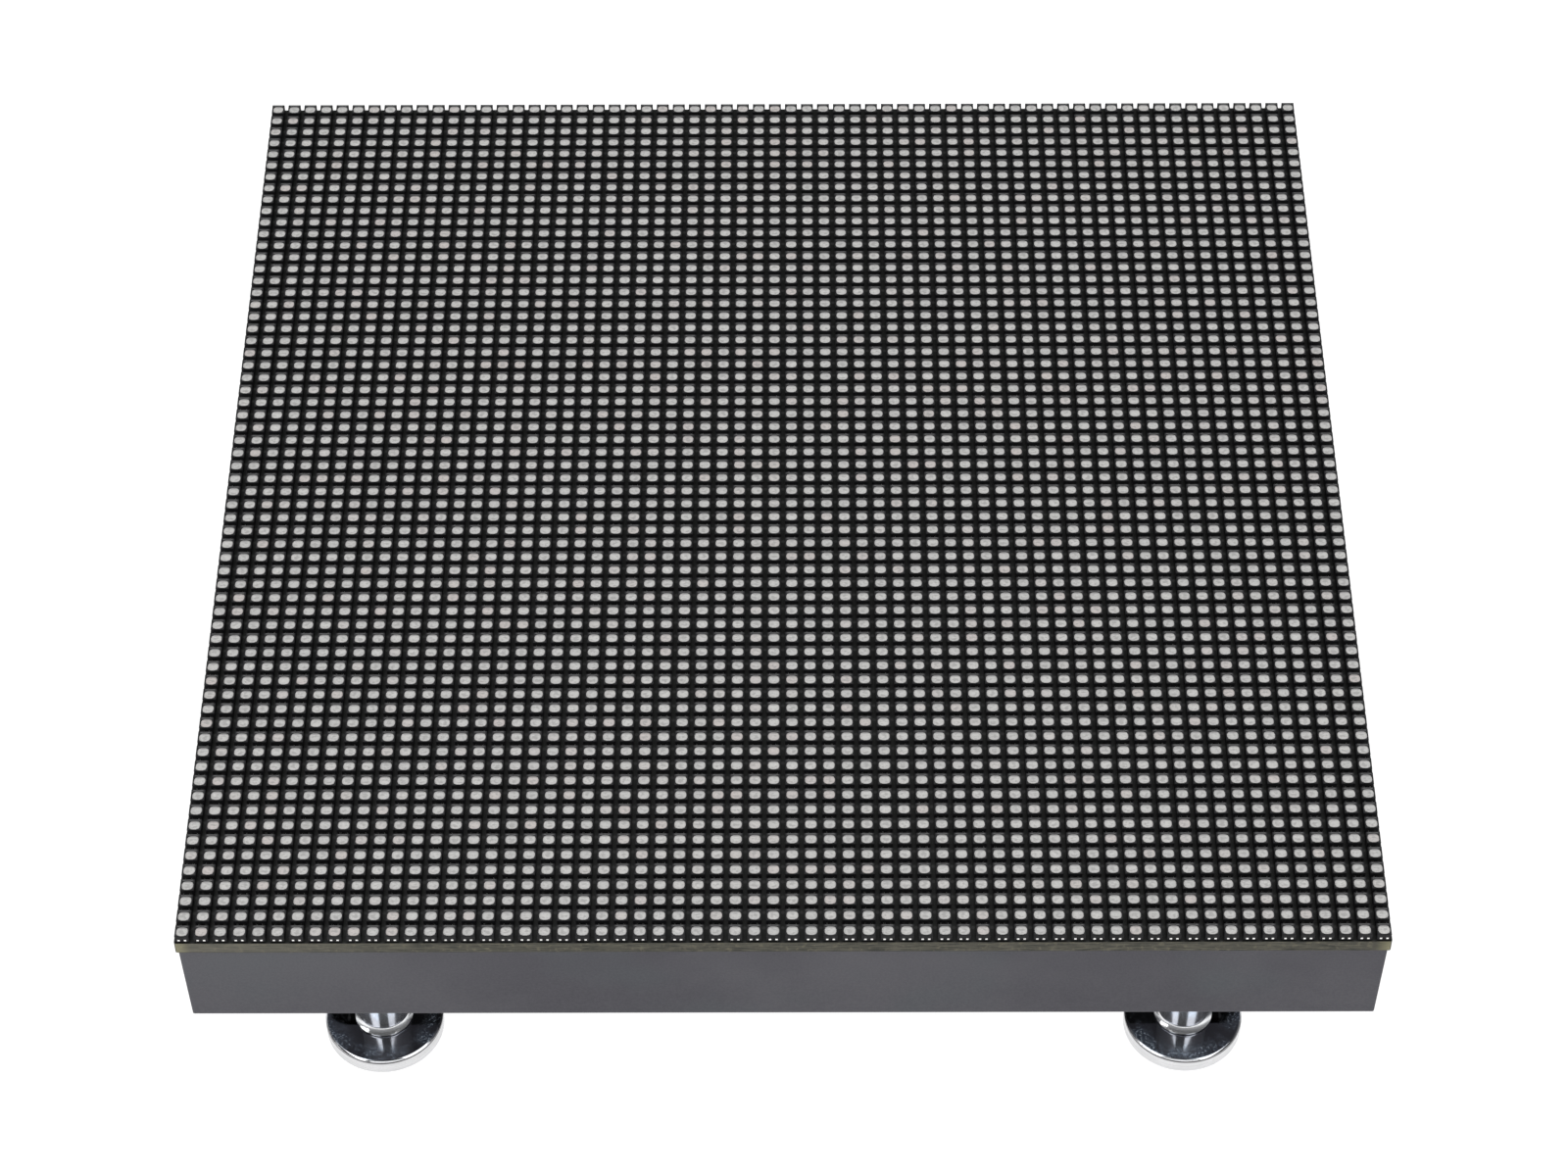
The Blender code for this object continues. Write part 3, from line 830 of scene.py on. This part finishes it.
def postProfile():
    f = foot
    tip, root, low = f["studTop"], f["threadRoot"], f["postFoot"]
    spigot, cut, end = f["spigotRadius"], f["spigotCut"], f["spigotEnd"]
    points = [(0, tip), (root, tip)] + threadPoints(f, f["threadCrest"], root, tip)
    edge, radius, top = f["topRound"], f["postRadius"], f["postTop"]
    points += [(root, top), (radius - edge - f["holdLoop"], top)]
    points += arc(radius - edge, top - edge, edge, 90, 0, f["topSteps"])
    high = low + f["flareRim"] + f["flareHeight"]
    points += [(radius, top - edge - f["holdLoop"]), (radius, high + f["flareLoop"])]
    for i in range(f["flareSteps"] + 1):
        share = i / f["flareSteps"]
        out = radius + (f["flareRadius"] - radius) * share
        up = high - f["flareHeight"] * share
        hollow = math.sin(math.pi * share)
        points += [(out - hollow * f["flareHollow"][0], up - hollow * f["flareHollow"][1])]
    points += [(f["flareRadius"], low + f["footCut"]), (f["flareRadius"] - f["footCut"], low)]
    return points + [(spigot, low), (spigot, end + cut), (spigot - cut, end), (0, end)]


def makeFeet():
    f = foot
    place = axisOf("foot_post_" + f["corners"][0])
    magnet = makeTurned("footMagnet", place, magnetProfile(), f["steps"])
    post = makeTurned("footPost", place, postProfile(), f["steps"])
    key = startPeg(6, f["keyWidth"] / math.sqrt(3), 2 * f["keyDepth"], (*place, f["spigotEnd"]))
    editOn(key)
    pickFaces(key, (0, 0, 1))
    scaleBy(f["keyDraft"], f["keyDraft"])
    cutWith(post, key)
    for shape in (magnet, post):
        smooth(shape)
    keepAtNodes(place, "foot_magnet_", f["corners"], (magnet, "nickel_plate", magnetFinish(), True))
    keepAtNodes(place, "foot_post_", f["corners"], (post, "plated_steel", postFinish(), True))
    print("feet:", len(f["corners"]))


# Screws and the nuts they go into

fixing = {
    "steps": 48,
    "headLow": 15.4 * mm,
    "headTop": 17.3 * mm,
    "headRadius": 2.75 * mm,
    "headSide": 0.7 * mm,
    "headCut": 0.12 * mm,
    "domeFlat": 0.9 * mm,
    "domeSteps": 6,
    "shankRadius": 1.45 * mm,
    "shankRoot": 1.15 * mm,
    "shankTip": 23.6 * mm,
    "tipCut": 0.4 * mm,
    "neckRadius": 1.25 * mm,
    "firstThread": 0.7 * mm,
    "threadPitch": 0.6 * mm,
    "threadFlat": 0.03 * mm,
    "threads": 9,
    "crossSpan": 3.0 * mm,
    "crossWide": 0.62 * mm,
    "crossDepth": 1.2 * mm,
    "crossDraft": (0.5, 0.8),  # how much shorter and narrower a slot's deep end is
    "nutLow": 19.7 * mm,
    "nutTop": 24.7 * mm,
    "nutRadius": 2.75 * mm,
    "nutBore": 1.55 * mm,
    "nutNeck": 2.45 * mm,
    "nutFlange": 0.8 * mm,
    "nutCut": 0.2 * mm,
}


def screwProfile():
    s = fixing
    tip, root, head, cut = s["shankTip"], s["shankRoot"], s["headTop"], s["headCut"]
    points = [(0, tip), (root - s["tipCut"], tip), (root, tip - s["tipCut"])]
    points += threadPoints(s, s["shankRadius"], root, tip)
    points += [(s["neckRadius"], head), (s["headRadius"] - cut, head), (s["headRadius"], head - cut)]
    side = head - s["headSide"]
    wide = s["headRadius"] - s["domeFlat"]
    tall = side - s["headLow"]
    for i in range(s["domeSteps"] + 1):
        turn = math.pi / 2 * i / s["domeSteps"]
        points += [(s["domeFlat"] + wide * math.cos(turn), side - tall * math.sin(turn))]
    return points + [(0, s["headLow"])]


def nutProfile():
    s = fixing
    cut, low, top = s["nutCut"], s["nutLow"], s["nutTop"]
    bore, outer, neck = s["nutBore"], s["nutRadius"], s["nutNeck"]
    flange = top - s["nutFlange"]
    return [(bore + cut, top), (outer, top), (outer, flange + cut), (outer - cut, flange), (neck, flange),
            (neck, low + cut), (neck - cut, low), (bore + cut, low), (bore, low + cut), (bore, top - cut),
            (bore + cut, top)]


def makeFixings():
    s = fixing
    endings = endingsOf("shell_screw_")
    place = axisOf("shell_screw_" + endings[0])
    screw = makeTurned("shellScrew", place, screwProfile(), s["steps"])
    size, draft = (s["crossSpan"], s["crossWide"]), s["crossDraft"]
    for way in (1, -1):
        slot = startBox("slot", (*place, s["headLow"]), (*size[::way], 2 * s["crossDepth"]))
        pickFaces(slot, (0, 0, 1))
        scaleBy(*draft[::way])
        cutWith(screw, slot)
    nut = makeTurned("boardNut", place, nutProfile(), s["steps"])
    for shape in (screw, nut):
        smooth(shape)
    keepAtNodes(place, "shell_screw_", endings, (screw, "plated_steel", metalFinish("zinc plate"), True))
    keepAtNodes(place, "board_nut_", endings, (nut, "tinned_metal", metalFinish("dull tin"), True))
    print("screws and nuts:", len(endings))


# The plugs' sockets: two keyed data headers and a power header

dataHeader = {
    "wall": 1.2 * mm,
    "floor": 2.5 * mm,
    "keyWide": 4.5 * mm,
    "edgeCut": 0.15 * mm,
    "mouthCut": 0.35 * mm,
    "markSize": 0.9 * mm,
    "markDepth": 0.2 * mm,
    "markIn": (5 * mm, 2 * mm),  # from the header's end, and from its mouth
    "pinPitch": 2.54 * mm,
    "pinSide": 0.64 * mm,
    "pinEnd": 16.9 * mm,
    "pinPoint": 0.5 * mm,
    "pinTip": 0.5,  # how wide the tip is, as a share of the pin
    "ways": (2, 8),
}

powerHeader = {
    "baseTall": 3.3 * mm,
    "wallHalf": 6.8 * mm,
    "wallThick": 1.0 * mm,
    "wallInset": 0.1 * mm,
    "lipTall": 0.7 * mm,
    "lipOut": 0.35 * mm,
    "lipTaper": 0.5,
    "edgeCut": 0.2 * mm,
    "gapWide": 0.9 * mm,
    "gapDeep": 0.8 * mm,
    "gapLower": 1 * mm,  # a gap's middle is this far below the base's
    "ways": 4,
    "pinPitch": 3.96 * mm,
    "pinSide": 1.14 * mm,
    "pinBack": -0.7 * mm,
    "pinEnd": 15.9 * mm,
    "pinPoint": 0.9 * mm,
    "pinTip": 0.5,
}


def makePin(name, place, shape, high):
    # a square pin with a pointed lower end, and shape is the dictionary of its header
    low, side, point = shape["pinEnd"], shape["pinSide"], shape["pinPoint"]
    pin = startBox(name, (*place, (low + point + high) / 2), (side, side, high - low - point))
    pickFaces(pin, (0, 0, -1))
    extrude((0, 0, -point))
    scaleBy(shape["pinTip"], shape["pinTip"])
    editOff()
    return pin


def makeDataHeaders(black, gold):
    h = dataHeader
    low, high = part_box("data_in_header")
    centre, size = (low + high) / 2, high - low
    body = startBox("dataInHeader", centre, size)
    pick(body, "EDGE", lambda edge: True)
    bevel(h["edgeCut"], 2)
    pickFaces(body, (0, 0, -1), 0.99)
    bpy.ops.mesh.inset(thickness=h["wall"] - h["edgeCut"] - h["mouthCut"])
    extrude((0, 0, h["mouthCut"]))
    mouth = [side - 2 * h["wall"] for side in size[:2]]
    scaleBy(*(side / (side + 2 * h["mouthCut"]) for side in mouth))
    tall = size.z - h["floor"]
    extrude((0, 0, tall - h["mouthCut"]))
    spare = 1 * mm  # lets the slot's cutter go past the header's wall and mouth
    key = startBox("key", (high.x, centre.y, low.z + tall / 2 - spare),
                   (2 * h["wall"] + spare, h["keyWide"], tall + 2 * spare))
    cutWith(body, key)
    mark = (high.x, low.y + h["markIn"][0], low.z + h["markIn"][1])
    cutWith(body, startPeg(3, h["markSize"], 2 * h["markDepth"], mark, (0, math.pi / 2, 0)))
    across, along = h["ways"]
    start = (centre.x - (across - 1) / 2 * h["pinPitch"], centre.y - (along - 1) / 2 * h["pinPitch"])
    pins = makePin("dataInPins", start, h, high.z)
    addArray(pins, across, (h["pinPitch"], 0, 0))
    addArray(pins, along, (0, h["pinPitch"], 0))
    keep(copyOf(body, "dataOutHeader", turn=math.pi), black, ["data_out_header"])
    keep(copyOf(pins, "dataOutPins", turn=math.pi), gold)
    keep(body, black, ["data_in_header"])
    keep(pins, gold)
    print("data headers: 2")


def makePowerHeader(white, tin):
    h = powerHeader
    low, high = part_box("power_header")
    place, size = (low + high) / 2, high - low
    baseZ = high.z - h["baseTall"] / 2
    base = startBox("powerHeader", (place.x, place.y, baseZ), (size.x, size.y, h["baseTall"]))
    pick(base, "EDGE", lambda edge: True)
    bevel(h["edgeCut"], 2)
    editOff()
    tall = baseZ - low.z
    wallY = high.y - h["wallInset"] - h["wallThick"] / 2
    wall = startBox("wall", (0, wallY, low.z + tall / 2), (2 * h["wallHalf"], h["wallThick"], tall))
    bpy.ops.mesh.select_all(action="SELECT")
    bpy.ops.mesh.bisect(plane_co=(0, 0, low.z + 2 * h["lipTall"]), plane_no=(0, 0, 1))
    lipTop = 2 * h["lipTall"] - tall / 2
    pick(wall, "FACE", lambda face: face.normal.y < -0.9 and face.calc_center_median().z < lipTop)
    extrude((0, -h["lipOut"], 0))
    scaleBy(1, 1, h["lipTaper"])
    cutWith(base, wall, "UNION")
    for gap in range(h["ways"] - 1):
        x = (gap - (h["ways"] - 2) / 2) * h["pinPitch"]
        cutWith(base, startBox("notch", (x, low.y, baseZ - h["gapLower"]),
                               (h["gapWide"], 2 * h["gapDeep"], h["baseTall"])))
    pins = makePin("powerPins", (-(h["ways"] - 1) / 2 * h["pinPitch"], h["pinBack"]), h, high.z)
    addArray(pins, h["ways"], (h["pinPitch"], 0, 0))
    keep(base, white, ["power_header"])
    keep(pins, tin)
    print("power header: 1")


# Canned capacitors, each on a black base with a tab at each side

canPart = {
    "steps": 48,
    "radius": 3.15 * mm,
    "low": 17.0 * mm,
    "edge": 0.45 * mm,
    "edgeSteps": 5,
    "dish": 0.08 * mm,
    "dishIn": 0.95 * mm,  # the dished end starts this far inside the can's side
    "dishSlope": 0.1 * mm,
    "grooveLow": 21.7 * mm,
    "grooveTop": 22.7 * mm,
    "groove": 0.28 * mm,
    "grooveFlat": (0.04 * mm, 0.2 * mm),  # how deep its rounded bottom is, and half of its width
    "grooveLoop": 0.15 * mm,
    "baseLow": 23.7 * mm,
    "lowCut": 0.3 * mm,
    "baseCorner": 1.0 * mm,
    "baseEdge": 0.12 * mm,
    "tab": (0.9 * mm, 6.9 * mm, 0.18 * mm),
    "tabRound": 0.2 * mm,
    "mark": (0.02, 0.02, 0.022),
    "markFrom": (0.9 * mm, 0.95 * mm),  # the dark part of the can's end starts this far off its middle
    "markHeights": (0.12 * mm, 0.1 * mm),  # and stays lower than this
}


def canFinish():
    c = canPart
    made = metalFinish("drawn aluminium")
    x, _, z = split(placeOf(made))
    along = calc("SUBTRACT", calc("ABSOLUTE", x), middle("capacitor_back_right").x)
    flat = between(z, *offsets(c["low"], c["markHeights"], 1))
    mark = times(flat, between(along, *c["markFrom"]))
    shader = shaderOf(made)
    plain = shader.inputs["Base Color"].links[0].from_socket
    feed(shader, "Base Color", mixed(mark, plain, c["mark"]))
    feed(shader, "Metallic", calc("SUBTRACT", 1.0, mark))
    return made


def canProfile():
    c = canPart
    radius, low, edge, dish = c["radius"], c["low"], c["edge"], c["radius"] - c["dishIn"]
    points = [(0, low + c["dish"]), (dish, low + c["dish"]), (dish + c["dishSlope"], low)]
    points += arc(radius - edge, low + edge, edge, -90, 0, c["edgeSteps"])
    points += [(radius, c["grooveLow"] - c["grooveLoop"]), (radius, c["grooveLow"])]
    neck, grooveZ = radius - c["groove"], (c["grooveLow"] + c["grooveTop"]) / 2
    deep, half = c["grooveFlat"]
    points += [(neck + deep, grooveZ - half), (neck, grooveZ), (neck + deep, grooveZ + half)]
    points += [(radius, c["grooveTop"]), (radius, c["baseLow"] - c["lowCut"])]
    return points + [(radius - c["lowCut"], c["baseLow"]), (0, c["baseLow"])]


def makeCapacitors(black, tin):
    c = canPart
    endings = endingsOf("capacitor_")
    first = "capacitor_" + endings[0]
    place = axisOf(first)
    low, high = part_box(first)
    can = makeTurned("capacitorCan", place, canProfile(), c["steps"])
    smooth(can)
    wide, tall = high.x - low.x, high.z - c["baseLow"]
    base = startBox("capacitorBase", (*place, (c["baseLow"] + high.z) / 2), (wide, wide, tall))
    pick(base, "EDGE", lambda edge: upright(edge) and edge.verts[0].co.x > 0)
    bevel(c["baseCorner"])
    pick(base, "EDGE", lambda edge: not upright(edge))
    bevel(c["baseEdge"])
    editOff()
    tab = startBox("capacitorTab", (*place, high.z - c["tab"][2] / 2), c["tab"])
    pick(tab, "EDGE", upright)
    bevel(c["tabRound"], 2)
    editOff()
    keepAtNodes(place, "capacitor_", endings, (can, "aluminium_can", canFinish(), True),
                (base, "black_moulding", black, True), (tab, "tinned_metal", tin, False))
    print("capacitors:", len(endings))


# Chips: a moulded body with a parting line, a dimple at one end, and bent leads

chip = {
    "slab": 0.14 * mm,
    "slabZ": 24.0 * mm,
    "slabShares": (0.35, 0.45),  # at least these shares of the height stay above and below the slab
    "draft": 0.24 * mm,
    "edgeCut": 0.06 * mm,
    "dimple": 0.3 * mm,
    "dimpleDeep": 0.07 * mm,
    "dimpleIn": 0.75 * mm,
    "leadThick": 0.14 * mm,
    "leadGap": 0.005 * mm,
    "leadRoot": 0.3 * mm,
    "leadRootOut": 0.05 * mm,
    "leadOut": 0.3 * mm,
    "leadFoot": 0.42 * mm,
    "leadRise": 0.6 * mm,
    "leadBend": (0.08 * mm, 0.05 * mm),  # out and up at the last bend, and as much up at the first
}


def makeChipBody(name, place, size):
    # place is the middle of the chip's foot on the board, and size its moulded body
    c = chip
    x, y, top = place
    low = top - size[2]
    above, below = c["slabShares"]
    line = max(min(c["slabZ"], top - above * size[2]), low + below * size[2])
    body = startBox(name, (x, y, line), (size[0], size[1], c["slab"]))
    for way, end in ((-1, low), (1, top)):
        pickFaces(body, (0, 0, way))
        extrude((0, 0, end - line - way * c["slab"] / 2))
        scaleBy(1 - c["draft"] / size[0], 1 - c["draft"] / size[1])
    pick(body, "EDGE", lambda edge: not upright(edge) and abs(edge.verts[0].co.z) > c["slab"])
    bevel(c["edgeCut"])
    editOff()
    dot = (x - size[0] / 2 + c["dimpleIn"], y - size[1] / 2 + c["dimpleIn"], low)
    cutWith(body, startPeg(16, c["dimple"], 2 * c["dimpleDeep"], dot))
    return body


def makeLeads(name, place, halfBody, count, pitch, width, turned=False):
    # a row of bent leads on two opposite sides of a chip, out along y, or along x when turned
    c = chip
    x, y, top = place
    start = top - c["leadGap"] - c["leadThick"] / 2 - c["leadRise"]
    lead = startBox(name, (-(count - 1) / 2 * pitch, halfBody + c["leadRootOut"], start),
                    (width, c["leadRoot"], c["leadThick"]))
    pickFaces(lead, (0, 1, 0))
    half, (bendOut, bendUp) = c["leadOut"] / 2, c["leadBend"]
    for step in ((half, bendUp), (half, c["leadRise"] - 2 * bendUp), (bendOut, bendUp), (c["leadFoot"], 0)):
        extrude((0, *step))
    editOff()
    addArray(lead, count, (pitch, 0, 0))
    settle(lead)
    lead = joined([lead, copyOf(lead, "otherSide", turn=math.pi)], name)
    if turned:
        bpy.ops.transform.rotate(value=math.pi / 2, orient_axis="Z", center_override=(0, 0, 0))
    bpy.ops.transform.translate(value=(x, y, 0))
    return lead


def placeChips(kind, places, size, leads, black, tin, nodes=None):
    # the first chip and its leads are modelled, and the others are copies
    first = places[0]
    body = makeChipBody(kind, first, size)
    legs = makeLeads(kind + "Leads", first, *leads)
    allLegs = [legs]
    for number, place in enumerate(places[1:], 2):
        shift = (place[0] - first[0], place[1] - first[1], 0)
        other = copyOf(body, f"{kind}_{number:02d}", shift)
        keep(other, black, [nodes[number - 1]] if nodes else ())
        allLegs.append(copyOf(legs, kind + "Legs", shift))
    keep(rename(body, kind + "_01"), black, [nodes[0]] if nodes else ())
    keep(joined(allLegs, kind + "Leads"), tin)
    print(kind + ":", len(places))


# which side of the body has the leads, how many there are to a side, their pitch and their width
chipLeads = {
    "driver": (1, 12, 0.635 * mm, 0.26 * mm),
    "buffer": (0, 9, 0.65 * mm, 0.24 * mm, True),
    "switch": (1, 4, 1.27 * mm, 0.42 * mm),
}

rowSwitch = {
    "size": (4.9 * mm, 3.9 * mm, 1.4 * mm),
    "alongX": (19.9 * mm, 35.8 * mm),
    "alongY": 34.56 * mm,
}


def makeChips(black, tin):
    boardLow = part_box("driver_chip_01")[1].z
    for kind in ("driver", "buffer"):
        nodes = named(kind + "_chip_")
        spots = [(*axisOf(name), boardLow) for name in nodes]
        low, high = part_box(nodes[0])
        size = high - low
        side, *leads = chipLeads[kind]
        placeChips(kind + "Chip", spots, size, (size[side] / 2, *leads), black, tin, nodes)
    spots = [(sideX * x, sideY * rowSwitch["alongY"], boardLow)
             for sideY in (-1, 1) for sideX in (-1, 1) for x in rowSwitch["alongX"]]
    size = rowSwitch["size"]
    side, *leads = chipLeads["switch"]
    placeChips("rowSwitch", spots, size, (size[side] / 2, *leads), black, tin)
    return spots


# Small resistors and capacitors between the chips

smallPart = {
    "size": (1.6 * mm, 0.8 * mm, 0.5 * mm),
    "cap": 0.32 * mm,
    "overlap": 0.01 * mm,
    "proud": 0.03 * mm,
    "round": 0.06 * mm,
    # places from the middle of a driver chip, of a row switch and of the panel: across, along
    "besideDriver": ((-6.6 * mm, 1.1 * mm), (-6.6 * mm, -1.1 * mm), (6.6 * mm, 1.1 * mm)),
    "besideSwitch": ((0, 4.4 * mm), (0, -4.4 * mm)),
    "centreX": (-4.8 * mm, -1.6 * mm, 1.6 * mm, 4.8 * mm),
    "centreY": (8.4 * mm, -8.0 * mm),
}


def makeSmallParts(switches, tin):
    s = smallPart
    (long, wide, tall), cap = s["size"], s["cap"]
    spots = [(x, y) for y in s["centreY"] for x in s["centreX"]]
    for x, y in [axisOf(name) for name in named("driver_chip_")]:
        spots += [(x + dx, y + dy) for dx, dy in s["besideDriver"]]
    for x, y, _ in switches:
        spots += [(x + dx, y + dy) for dx, dy in s["besideSwitch"]]
    (startX, startY), z = spots[0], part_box("driver_chip_01")[1].z - tall / 2
    body = startBox("resistorBodies", (startX, startY, z), (long - 2 * cap + 2 * s["overlap"], wide, tall))
    pick(body, "EDGE", lambda edge: edge.verts[0].co.z < 0 and edge.verts[1].co.z < 0)
    bevel(s["round"])
    editOff()
    end = startBox("resistorEnds", (startX - (long - cap) / 2, startY, z), (cap, wide + s["proud"], tall))
    pick(end, "EDGE", lambda edge: edge.verts[0].co.x < 0 and edge.verts[1].co.x < 0)
    bevel(s["round"], 2)
    editOff()
    addArray(end, 2, (long - cap, 0, 0))
    for shape, slotName, finish in ((body, "black_moulding", mouldingFinish("dark ceramic")),
                                    (end, "tinned_metal", tin)):
        name = shape.name
        copies = [copyOf(shape, "spare", (x - startX, y - startY, 0)) for x, y in spots[1:]]
        keep(joined([shape] + copies, name), finish)
    print("small parts:", len(spots))


# Camera, floor and light

studio = {
    "lens": 94.06,
    "sensor": 36,
    "clip": (0.01, 20),
    "cameraAt": (1.177 * mm, -314.950 * mm, 376.882 * mm),
    "forward": (-0.00227651, 0.65026183, -0.75970677),
    "right": (0.99999518, -0.000123713, -0.00310244),
    "floorSide": 6.0,
    "floorColour": (0.2, 0.2, 0.2),
    "floorRoughness": 0.9,
    "world": (0.97, 0.98, 1.0),
    "skyFade": (0.02, 0.40, 0.30, 0.07),  # from and to this height of the sky, its strength there
    "skyline": (-0.02, 0.10, 0.85, 0.0),  # a pale band all round, low down
    "floorGlow": 0.96,
    "glowUnder": 0.03,
    "glowFrom": (0.0465, 0.0515),  # painted shadow: the glow is dim under the panel, and pale where the camera sees it
    "sideGlowFrom": (0.047, 0.060),
    "lampsAimAt": (0, 0, 15 * mm),
    # degrees to the right of the camera, degrees up, metres away, sides, power
    "lamps": {
        "topLamp": (172, 80, 0.6, (0.6, 0.4), 1.55),
        "backLamp": (180, 34, 1.0, (1.0, 0.25), 0.65),
        "leftLamp": (-60, 44, 1.0, (0.86, 0.6), 4.2),
        "rightLamp": (56, 44, 1.0, (0.84, 0.6), 3.6),
        "lowLeftLamp": (-66, 12, 1.0, (0.5, 0.16), 0.6),
        "frontLamp": (0, 34, 1.0, (0.8, 0.16), 0.55),
    },
}


def makeCamera():
    data = bpy.data.cameras.new("photoCamera")
    data.lens = studio["lens"]
    data.sensor_width = studio["sensor"]
    data.clip_start, data.clip_end = studio["clip"]
    camera = bpy.data.objects.new("photoCamera", data)
    bpy.context.scene.collection.objects.link(camera)
    forward = Vector(studio["forward"]).normalized()
    right = Vector(studio["right"])
    right = (right - right.dot(forward) * forward).normalized()
    up = right.cross(forward)
    turn = Matrix((right, up, -forward)).transposed()
    camera.matrix_world = Matrix.Translation(studio["cameraAt"]) @ turn.to_4x4()
    bpy.context.scene.camera = camera


def makeFloor():
    clearSelection()
    bpy.ops.mesh.primitive_plane_add(size=studio["floorSide"], location=(0, 0, 0))
    floor = bpy.context.object
    floor.name = "studioFloor"
    made = newFinish("pale floor", specular=0.0)
    paint(made, (*studio["floorColour"], 1), studio["floorRoughness"])
    x, y, _ = split(placeOf(made))
    # the floor glows evenly where it is seen, and its glow fades out under the panel as a painted soft
    # shadow
    front = between(times(y, -1.0), *studio["glowFrom"])
    beside = between(calc("MAXIMUM", calc("ABSOLUTE", x), y), *studio["sideGlowFrom"])
    glow = calc("MAXIMUM", calc("MAXIMUM", front, beside), studio["glowUnder"])
    feed(shaderOf(made), "Emission Color", (1, 1, 1, 1))
    feed(shaderOf(made), "Emission Strength", times(glow, studio["floorGlow"]))
    floor.data.materials.append(made)


def addLamp(name, place, size, power):
    data = bpy.data.lights.new(name, "AREA")
    data.shape = "RECTANGLE"
    data.size, data.size_y = size
    data.energy = power
    lamp = bpy.data.objects.new(name, data)
    bpy.context.scene.collection.objects.link(lamp)
    lamp.location = place
    lamp.visible_camera = False  # the lamps light the panel and stay out of every picture
    lamp.rotation_euler = (Vector(studio["lampsAimAt"]) - place).to_track_quat("-Z", "Y").to_euler()


def makeLight():
    # pale low down all round, dark overhead, so that the bright metal has something dark to show
    world = bpy.data.worlds.new("studioAir")
    world.use_nodes = True
    sky = world.node_tree.nodes["Background"]
    _, _, height = split(placeOf(world, "Generated"))
    bands = [between(height, *studio[band]) for band in ("skyFade", "skyline")]
    feed(sky, "Color", (*studio["world"], 1))
    feed(sky, "Strength", calc("MAXIMUM", *bands))
    bpy.context.scene.world = world
    for name, (turn, rise, away, size, power) in studio["lamps"].items():
        turn, rise = math.radians(turn), math.radians(rise)
        place = (math.sin(turn) * math.cos(rise), -math.cos(turn) * math.cos(rise), math.sin(rise))
        addLamp(name, Vector(place) * away, size, power)
    bpy.context.scene.view_settings.view_transform = "Standard"


makeCamera()
makeFloor()
makeLight()
dressCad()
makeLedField()
makeFeet()
makeFixings()
blackMoulding = mouldingFinish("black moulding")
tinPlate = metalFinish("tin plate")
makeDataHeaders(blackMoulding, metalFinish("gilt pin"))
makePowerHeader(mouldingFinish("white nylon"), tinPlate)
makeCapacitors(blackMoulding, tinPlate)
makeSmallParts(makeChips(blackMoulding, tinPlate), tinPlate)
